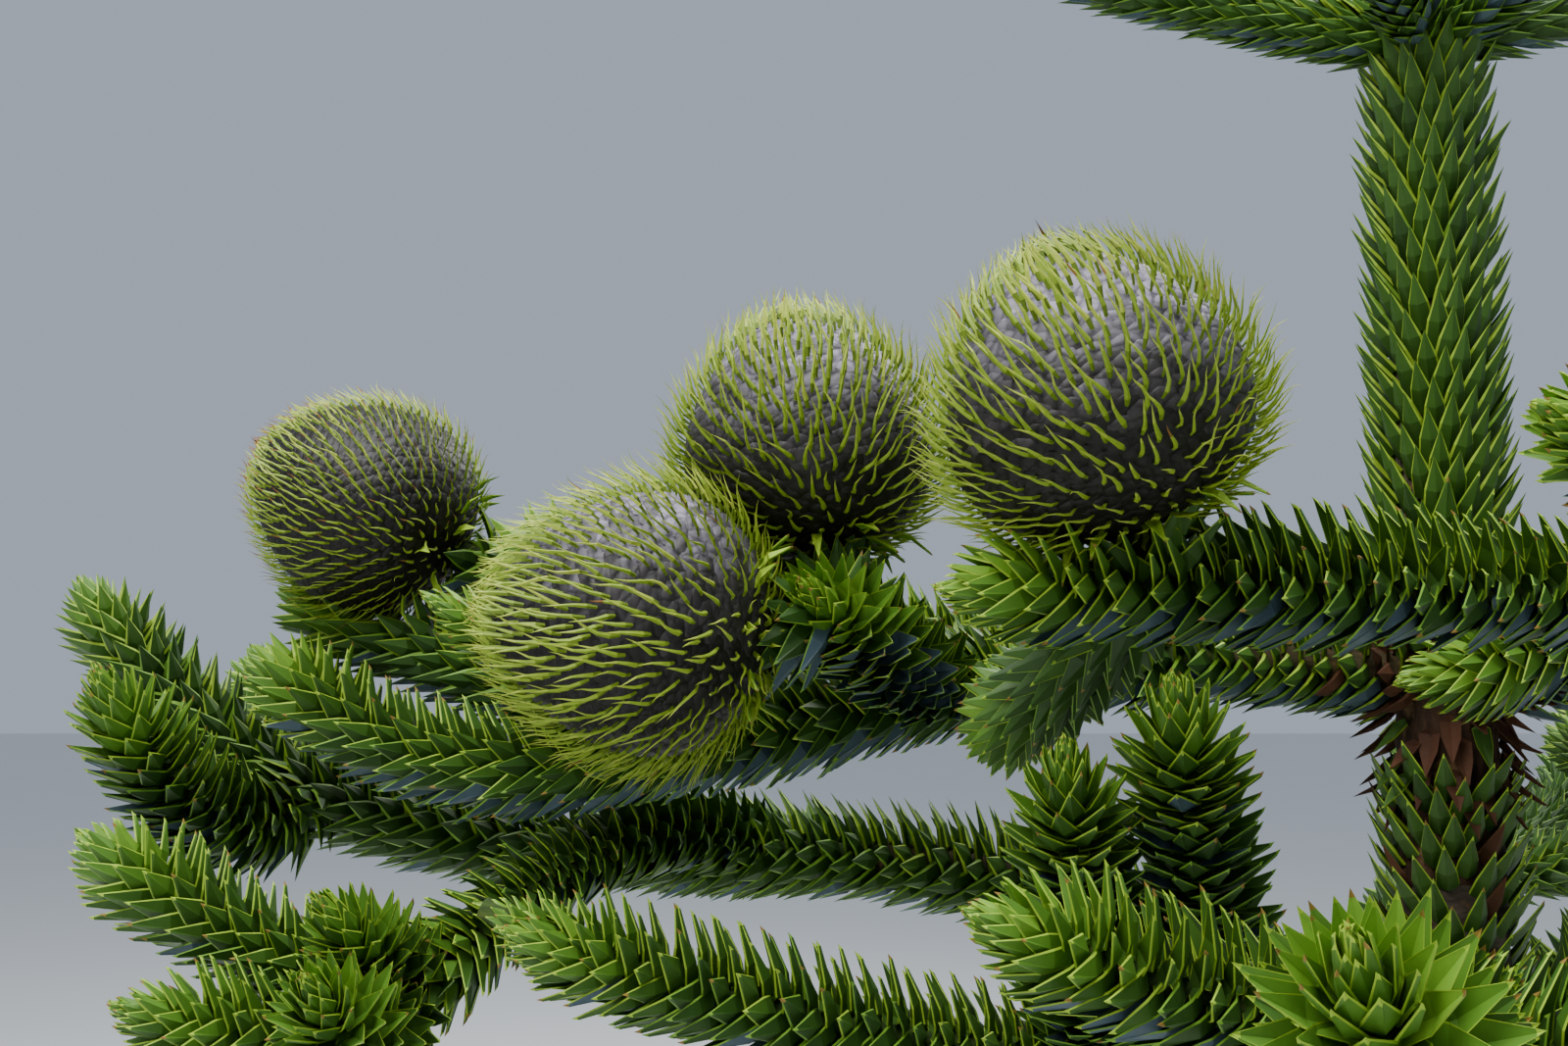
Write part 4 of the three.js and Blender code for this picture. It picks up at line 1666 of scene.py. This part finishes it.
@dataclass(frozen=True)
class Spirals:
    """Two families of spirals that leaves stand in: how many, and their turn in radians for each metre."""

    leftward: int
    leftward_turn: float
    rightward: int
    rightward_turn: float

    def at(self, heights: Array, turns: Array) -> Array:
        """A wave over both families: 0 along every spiral, and 1 or -1 in the fields between them."""
        left = np.sin((self.leftward * turns + heights * self.leftward_turn) / 2)
        return left * np.sin((self.rightward * turns - heights * self.rightward_turn) / 2)


@dataclass(frozen=True)
class TubeForm:
    """How a tube is made: its columns, how far apart its rings are, and how far it swells under a leaf."""

    columns: int
    step: float
    relief: float


@dataclass(frozen=True)
class Wood:
    """The bark of the trunk and boughs, with its relief, and the green stems of the shoots."""

    skeleton: Skeleton
    trunk_columns: int = 60
    trunk_rows: int = 180
    trunk_share: float = 0.988
    row_power: float = 1.08
    fibre: tuple[float, float] = (1.400, 1.585)
    flare_height: float = 0.12
    flare_lobes: int = 5
    flare_depth: float = 0.14
    smooth_foot: float = 0.06
    ring_drift: tuple[float, float] = (0.012, 0.006)
    ring_spacing: tuple[float, float] = (0.034, 0.0213)
    fine_rings: float = 0.6
    ring_depth: float = 0.0008
    scar_depth: float = 0.00176
    scars: Spirals = Spirals(8, 210.0, 13, 250.0)
    swells: Spirals = Spirals(5, 300.0, 8, 260.0)
    limb: TubeForm = TubeForm(14, 0.008, 0.0012)
    shoot: TubeForm = TubeForm(6, 0.026, 0.0)

    @staticmethod
    def skin(rings: Array, slot: int) -> Skin:
        """Joins rings of points into a closed skin with a cap at each end.

        Args:
            rings: Places, by ring and then by column.
            slot: The material slot.

        Returns:
            Its vertices, its blocks of faces and their slots.
        """
        count, columns, _ = rings.shape
        grid = np.arange(count * columns).reshape(count, columns)
        after = np.roll(grid, -1, axis=1)
        quads = np.stack([grid[:-1], after[:-1], after[1:], grid[1:]], axis=-1).reshape(-1, 4)
        caps = np.stack([grid[0, ::-1], grid[-1]])
        blocks = [quads, caps]
        return rings.reshape(-1, 3), blocks, [np.full(len(block), slot) for block in blocks]

    def _relief(self, heights: Array, turns: Array) -> Array:
        """How deep growth rings and the scars of old leaves cut into the trunk's bark.

        Args:
            heights: How high each place is.
            turns: How far round the trunk it is.

        Returns:
            The depths.
        """
        drift = self.ring_drift[0] * np.sin(turns + 3 * heights)
        drift = drift + self.ring_drift[1] * np.sin(2 * turns - 5 * heights)
        coarse, fine = self.ring_spacing
        rings = np.sin((heights + drift) * 2 * math.pi / coarse)
        rings = rings + self.fine_rings * np.sin((heights - drift) * 2 * math.pi / fine + turns)
        depth = self.ring_depth * (1 - rings) + self.scar_depth * (1 - np.abs(self.scars.at(heights, turns)))
        return smooth(0.0, self.smooth_foot, heights) * depth

    def _trunk(self) -> Skin:
        """The trunk's bark: flare, growth rings, and the scars of old leaves in their spirals.

        Returns:
            Its vertices, its blocks of faces and their slots: bark, and fibre in the scar of a whorl.
        """
        rows = np.linspace(0.0, 1.0, self.trunk_rows) ** self.row_power
        levels = self.skeleton.height * self.trunk_share * rows
        columns = np.linspace(0.0, 2 * math.pi, self.trunk_columns, endpoint=False)
        heights, turns = np.meshgrid(levels, columns, indexing="ij")
        low = np.clip(1 - heights / self.flare_height, 0.0, 1.0)
        lobes = 1 + self.flare_depth * low * np.sin(self.flare_lobes * turns)
        radius = self.skeleton.trunk_radius(heights) * lobes - self._relief(heights, turns)
        places = self.skeleton.axis(levels)[:, None] + around(EAST, NORTH, turns) * radius[..., None]
        vertices, blocks, slots = self.skin(places, 0)
        fibrous = (levels[:-1] > self.fibre[0]) & (levels[:-1] < self.fibre[1])
        slots[0] = np.repeat(fibrous.astype(int), self.trunk_columns)
        return vertices, blocks, slots

    def _tube(self, stretch: Stretch, form: TubeForm) -> Skin:
        """A limb or shoot: a tapered tube whose surface swells under each leaf.

        Args:
            stretch: The stretch of limb, stem, shoot or stalk.
            form: How the tube is made.

        Returns:
            Its vertices, its blocks of faces and their slots.
        """
        reach = stretch.end - stretch.start
        count = max(3, round(reach * stretch.curve.length / form.step))
        shares = np.linspace(stretch.start, stretch.end, count)
        _, side, other = stretch.curve.frames(shares)
        columns = np.linspace(0.0, 2 * math.pi, form.columns, endpoint=False)
        heights, turns = np.meshgrid((shares - stretch.start) * stretch.curve.length, columns, indexing="ij")
        taper = stretch.root + (stretch.tip - stretch.root) * (shares - stretch.start) / reach
        radius = taper[:, None] + form.relief * self.swells.at(heights, turns)
        offset = around(side[:, None], other[:, None], turns) * radius[..., None]
        return self.skin(stretch.curve.places(shares)[:, None] + offset, 0)

    def build(self, stretches: list[Stretch]) -> None:
        """Makes the trunk, the limbs and the shoots' stems.

        Args:
            stretches: Every stretch of limb, stem, shoot and stalk.
        """
        trunk = MeshParts()
        trunk.add(*self._trunk())
        attach(trunk.piece("trunk_bark", [TRUNK_BARK.build(), FIBRE_BARK.build()], True), "bark", "trunk")
        limbs = MeshParts()
        shoots = MeshParts()
        for stretch in stretches:
            if stretch.is_limb:
                limbs.add(*self._tube(stretch, self.limb))
            else:
                shoots.add(*self._tube(stretch, self.shoot))
        boughs = [f"bough_{stretch.key}" for stretch in stretches if stretch.is_limb]
        masses = sorted({f"foliage_{stretch.key}" for stretch in stretches})
        attach(limbs.piece("bough_bark", [LIMB_BARK.build()], True), "limb", *boughs)
        attach(shoots.piece("shoot_stems", [SHOOT_BARK.build()], True), "limb", *masses)


@dataclass(frozen=True)
class ScaleShape:
    """A scale of a cone: a low wide plate of a few rows, each with its spread, rise and shift to the apex."""

    width: float = 0.0185
    height: float = 0.0135
    relief: float = 0.0008
    corners: int = 7
    rows: tuple[tuple[float, float, float], ...] = ((1.0, -0.5, 0.0), (0.70, 0.85, 0.06))
    middle: tuple[float, float] = (1.05, 0.12)

    def points(self) -> Array:
        """Places the plate's points.

        Returns:
            How far each one is across, towards the apex, and out.
        """
        turns = np.linspace(0.0, 2 * math.pi, self.corners, endpoint=False) + math.pi / 2
        points = []
        for spread, rise, shift in self.rows:
            across = np.cos(turns) * spread * self.width / 2
            apexward = np.sin(turns) * spread * self.height / 2 + shift * self.height
            points.append(np.stack([across, apexward, np.full(self.corners, rise * self.relief)], axis=1))
        rise, shift = self.middle
        return np.concatenate([*points, [[0.0, shift * self.height, rise * self.relief]]])

    def faces(self) -> tuple[Array, Array]:
        """The plate's bands of four-cornered faces, and the fan that closes it."""
        bands, fan = joined_rings(self.corners, len(self.rows))
        return bands, np.roll(fan, -1, axis=1)


@dataclass(frozen=True)
class AwnShape:
    """An awn of a cone: flat, broad at its root, bowed towards the apex and fine at its end."""

    CORNERS = 4

    length: float = 0.0295
    width: float = 0.0030
    thickness: float = 0.0012
    hollow: float = 0.4
    stations: int = 5
    steps: tuple[float, ...] = (0.0, 0.15, 0.5, 0.8, 1.0)
    breadths: tuple[float, ...] = (0.70, 1.0, 0.60, 0.25, 0.0)

    def faces(self) -> tuple[Array, Array]:
        """The awn's bands of four-cornered faces and the fan at its tip, turned over to face outwards."""
        bands, tip = joined_rings(self.CORNERS, self.stations)
        return bands[:, [0, 3, 2, 1]], tip[:, [0, 2, 1]]


@dataclass(frozen=True)
class AwnSweep:
    """How awns sweep out and to the apex, with angles in degrees out of the cone's surface.

    A name with low or high in it is about the cone's two ends, and one with spread in it is a standard
    deviation.
    """

    low_end: tuple[float, float] = (-0.98, -0.60)
    high_end: tuple[float, float] = (0.6, 1.0)
    low_shorter: float = 0.3
    high_shorter: float = 0.25
    low_wider: float = 0.35
    length_spread: float = 0.10
    width_spread: float = 0.09
    start: float = 60.0
    start_high: float = 12.0
    middle: float = 21.0
    middle_high: float = 4.0
    angle_spread: float = 7.0
    flick: float = 22.0
    flick_spread: float = 16.0
    bent_by: float = 0.45
    flick_from: float = 0.5
    sway_spread: float = 0.16
    sway_reach: float = 0.8
    sway_gain: float = 1.3
    wave_spread: float = 0.175
    root_out: float = 0.0012
    root_shift: float = 0.10

    def angles(self, high: Array, steps: Array, random: np.random.Generator) -> Array:
        """How far out of the surface each awn points, at each step of the way along it.

        Args:
            high: How near each awn is to the cone's upper end, from 0 to 1.
            steps: The steps, from 0 to 1.
            random: The stream of numbers.

        Returns:
            The angles in radians, by awn and then by step.
        """
        count = len(high)
        start = self.start - self.start_high * high + random.normal(0.0, self.angle_spread, count)
        middle = self.middle - self.middle_high * high + random.normal(0.0, self.angle_spread, count)
        start, middle = np.radians(start), np.radians(middle)
        end = middle + np.radians(self.flick + random.normal(0.0, self.flick_spread, count))
        angle = start[:, None] + (middle - start)[:, None] * smooth(0.0, self.bent_by, steps)[None]
        return angle + (end - middle)[:, None] * smooth(self.flick_from, 1.0, steps)[None]


@dataclass(frozen=True)
class SeedCones:
    """The seed cones: a waxy skin of wide scales in spirals, each with a long awn that sweeps to the apex."""

    SEED = 40

    scale: ScaleShape = ScaleShape()
    awn: AwnShape = AwnShape()
    sweep: AwnSweep = AwnSweep()
    core_share: float = 0.985
    core_rows: int = 26
    core_columns: int = 48
    core_ends: tuple[float, float] = (0.03, 0.97)
    scale_spread: float = 0.06
    end_scales: tuple[float, float, float] = (0.25, 0.85, 1.0)
    scale_sunk: float = 0.4
    tone_spread: float = 0.12
    tone_steps: tuple[float, float, float] = (-0.22, 0.22, 0.60)
    gold_from: float = 0.95
    gold_by_upness: float = 0.6
    scorch_high: tuple[float, float, float] = (2.5, 0.2, 0.9)

    @staticmethod
    def _rise(plan: ConePlan) -> Array:
        """How far up the cone each scale is, from -1 at its foot to 1 at its apex."""
        return (2 * np.arange(plan.scales) + 1) / plan.scales - 1

    def _surface(self, plan: ConePlan) -> tuple[Array, Array, Array, Array]:
        """Evenly spread places on a cone, in golden-angle order from its foot.

        Args:
            plan: The cone.

        Returns:
            The places, and the directions out, towards the apex and round about.
        """
        rise = self._rise(plan)
        axis, ring = plan.ring(np.arange(plan.scales) * GOLDEN_ANGLE)
        level = np.sqrt(1 - rise**2)
        places = np.array(plan.centre) + ring * plan.girth(rise)[:, None] + axis * (rise * plan.half)[:, None]
        out = unit(ring * (level / plan.across)[:, None] + axis * (rise / plan.half)[:, None])
        about = unit(np.cross(axis, out))
        return places, out, np.cross(out, about), about

    def _scales(self, plan: ConePlan, random: np.random.Generator) -> MeshParts:
        """Makes a cone's scales on its dark core.

        Args:
            plan: The cone.
            random: The stream of numbers.

        Returns:
            Their mesh parts.
        """
        places, out, apexward, about = self._surface(plan)
        smaller, ends_from, ends_at = self.end_scales
        size = random.normal(1.0, self.scale_spread, plan.scales)
        size = size * (1.0 - smaller * smooth(ends_from, ends_at, np.abs(self._rise(plan))))
        local = self.scale.points()[None] * size[:, None, None]
        local = local * (1 + random.normal(0.0, self.scale_spread, (*local.shape[:2], 1)))
        made = (
            places[:, None]
            + about[:, None] * local[..., 0:1]
            + apexward[:, None] * local[..., 1:2]
            + out[:, None] * (local[..., 2:3] - self.scale_sunk * self.scale.relief)
        )
        bands, fan = self.scale.faces()
        # Painted light: scales facing up get the pale tones with painted sheen, and those facing down the
        # dark tones of painted shade.
        shade = out @ UP + random.normal(0.0, self.tone_spread, plan.scales) + plan.bloom
        tone = np.digitize(shade, self.tone_steps)
        blocks = copied(plan.scales, local.shape[1], bands, fan)
        parts = MeshParts()
        parts.add(made, blocks, [np.repeat(tone, len(bands)), np.repeat(tone, len(fan))])
        parts.add(*self._core(plan))
        return parts

    def _core(self, plan: ConePlan) -> Skin:
        """Shapes the dark body under a cone's scales.

        Args:
            plan: The cone.

        Returns:
            Its vertices, its blocks of faces and their slots.
        """
        lifts = -np.cos(np.linspace(*self.core_ends, self.core_rows) * math.pi)
        axis, ring = plan.ring(np.linspace(0.0, 2 * math.pi, self.core_columns, endpoint=False))
        level = plan.girth(lifts) * self.core_share
        heights = lifts * plan.half * self.core_share
        rings = np.array(plan.centre) + ring[None] * level[:, None, None] + axis * heights[:, None, None]
        # The core shows only between the scales, in the darkest tone, which paints the shade in those gaps
        # along with dark wood.
        return Wood.skin(rings, ConeTone.WOOD)

    def _awn_lines(self, plan: ConePlan, random: np.random.Generator) -> tuple[Array, Array, Array, Array]:
        """The middle line of each awn.

        Args:
            plan: The cone.
            random: The stream of numbers.

        Returns:
            The lines' points, their directions, the cone's own outward directions, and each awn's width.
        """
        sweep = self.sweep
        rise = self._rise(plan)
        places, out, apexward, about = self._surface(plan)
        count = plan.scales
        low = 1 - smooth(*sweep.low_end, rise)
        high = smooth(*sweep.high_end, rise)
        length = self.awn.length * plan.awning.length
        length = length * (1 - sweep.low_shorter * low - sweep.high_shorter * high)
        length = length * random.normal(1.0, sweep.length_spread, count)
        steps = np.linspace(0.0, 1.0, self.awn.stations + 1)
        angle = sweep.angles(high, steps, random)
        sway = plan.awning.sway + random.normal(0.0, sweep.sway_spread, count)
        wave = random.normal(0.0, sweep.wave_spread, count)[:, None] * np.sin(steps * 2 * math.pi)[None]
        sideways = sway[:, None] * np.sin(steps * math.pi * sweep.sway_reach)[None] * sweep.sway_gain + wave
        heading = unit(around(apexward[:, None], out[:, None], angle) + about[:, None] * sideways[..., None])
        moves = (heading[:, :-1] + heading[:, 1:]) / 2 * (length / self.awn.stations)[:, None, None]
        base = places + out * sweep.root_out + apexward * self.scale.height * sweep.root_shift
        line = base[:, None] + np.concatenate([np.zeros((count, 1, 3)), np.cumsum(moves, axis=1)], axis=1)
        width = self.awn.width * plan.awning.width * (1 + sweep.low_wider * low)
        return line, heading, out, width * random.normal(1.0, sweep.width_spread, count)

    def _awns(self, plan: ConePlan, random: np.random.Generator) -> MeshParts:
        """Makes a cone's awns.

        Args:
            plan: The cone.
            random: The stream of numbers.

        Returns:
            Their mesh parts.
        """
        line, heading, out, width = self._awn_lines(plan, random)
        count, stations = plan.scales, self.awn.stations
        steps = np.linspace(0.0, 1.0, stations + 1)
        breadth = np.interp(steps, self.awn.steps, self.awn.breadths)[None] * width[:, None]
        depth = breadth * (self.awn.thickness / self.awn.width)
        side = unit(np.cross(heading, out[:, None]))
        back = np.cross(side, heading)
        rows = [
            line + side * (breadth / 2)[..., None],
            line + back * depth[..., None],
            line - side * (breadth / 2)[..., None],
            line - back * (self.awn.hollow * depth)[..., None],
        ]
        rings = np.stack(rows, axis=2)[:, :-1].reshape(count, -1, 3)
        made = np.concatenate([rings, line[:, -1:]], axis=1)
        # Awns facing up are gold more often: painted backlight on the cone's top, besides chance.
        golden = random.random(count) + self.gold_by_upness * (out @ UP) > self.gold_from
        body = np.where(golden, AwnTone.GOLD, AwnTone.LIME)
        band = np.repeat(np.arange(stations - 1), self.awn.CORNERS)[None]
        tones = np.where(band == 0, AwnTone.ROOT, body[:, None])
        tones = np.where(band >= stations - 2, AwnTone.GOLD, tones)
        more, more_from, more_at = self.scorch_high
        chance = plan.awning.scorch * (1 + more * smooth(more_from, more_at, self._rise(plan)))
        scorched = random.random(count) < chance
        tones = np.where((band >= stations - 2) & scorched[:, None], AwnTone.SCORCHED, tones)
        end_tone = np.where(scorched, AwnTone.SCORCHED, AwnTone.GOLD)
        parts = MeshParts()
        blocks = copied(count, made.shape[1], *self.awn.faces())
        parts.add(made, blocks, [tones.ravel(), np.repeat(end_tone, self.awn.CORNERS)])
        return parts

    def build(self) -> None:
        """Makes every cone's scales and awns."""
        scale_finishes = [CONE_FINISHES[tone].build() for tone in ConeTone]
        awn_finishes = [AWN_FINISHES[tone].build() for tone in AwnTone]
        for number, plan in enumerate(CONES):
            random = np.random.default_rng(self.SEED + number)
            scales = self._scales(plan, random).piece(f"{plan.name}_scales", scale_finishes, True)
            attach(scales, "cone", plan.name)
            awns = self._awns(plan, random).piece(f"{plan.name}_awns", awn_finishes, False)
            attach(awns, "cone", plan.name)


@dataclass(frozen=True)
class Studio:
    """The pale floor and the soft light."""

    floor_size: float = 60.0
    sky: Point = (0.80, 0.85, 0.92)
    sky_strength: float = 0.62

    def _floor(self) -> None:
        """The floor, just under the cut of the trunk."""
        half = self.floor_size / 2
        parts = MeshParts()
        corners = np.array([(-half, -half, 0.0), (half, -half, 0.0), (half, half, 0.0), (-half, half, 0.0)])
        parts.add(corners, [np.array([[0, 1, 2, 3]])], [np.array([0])])
        parts.piece("floor", [FLOOR_FINISH.build()], False)

    @staticmethod
    def _lamp(name: str, place: Point, target: Point, size: float, watts: float, colour: Point) -> None:
        """A square soft lamp that shines at a target.

        Args:
            name: Its name.
            place: Where it is.
            target: Where it shines.
            size: Its side, in metres.
            watts: Its power.
            colour: Its colour.
        """
        data = bpy.data.lights.new(name, "AREA")
        data.size = size
        data.energy = watts
        data.color = colour
        lamp = bpy.data.objects.new(name, data)
        lamp.location = place
        lamp.rotation_euler = (Vector(target) - Vector(place)).to_track_quat("-Z", "Y").to_euler()
        bpy.context.scene.collection.objects.link(lamp)

    def build(self) -> None:
        """Makes the floor, the sky and the lamps."""
        self._floor()
        world = bpy.data.worlds.new("sky")
        world.use_nodes = True
        background = world.node_tree.nodes["Background"]
        background.inputs["Color"].default_value = linear(*self.sky)
        background.inputs["Strength"].default_value = self.sky_strength
        bpy.context.scene.world = world
        self._lamp("top", (-0.8, -0.6, 5.6), (-0.3, -0.1, 1.5), 4.0, 420.0, (0.97, 0.99, 1.0))
        self._lamp("key", (-2.4, -2.2, 4.6), (-0.2, 0.0, 1.5), 2.2, 160.0, (1.0, 0.98, 0.93))
        self._lamp("rim", (1.6, 3.0, 4.4), (-0.2, 0.0, 1.6), 2.0, 170.0, (1.0, 0.98, 0.92))


def main() -> None:
    """Builds the tree, the studio and the camera."""
    logging.basicConfig(level=logging.INFO, format="%(message)s")
    view = PhotoView()
    view.build()
    Studio().build()
    skeleton = Skeleton()
    stretches = skeleton.grow()
    Wood(skeleton).build(stretches)
    Foliage(view, skeleton).build(stretches, CONES)
    SeedCones().build()


if __name__ == "__main__":
    main()
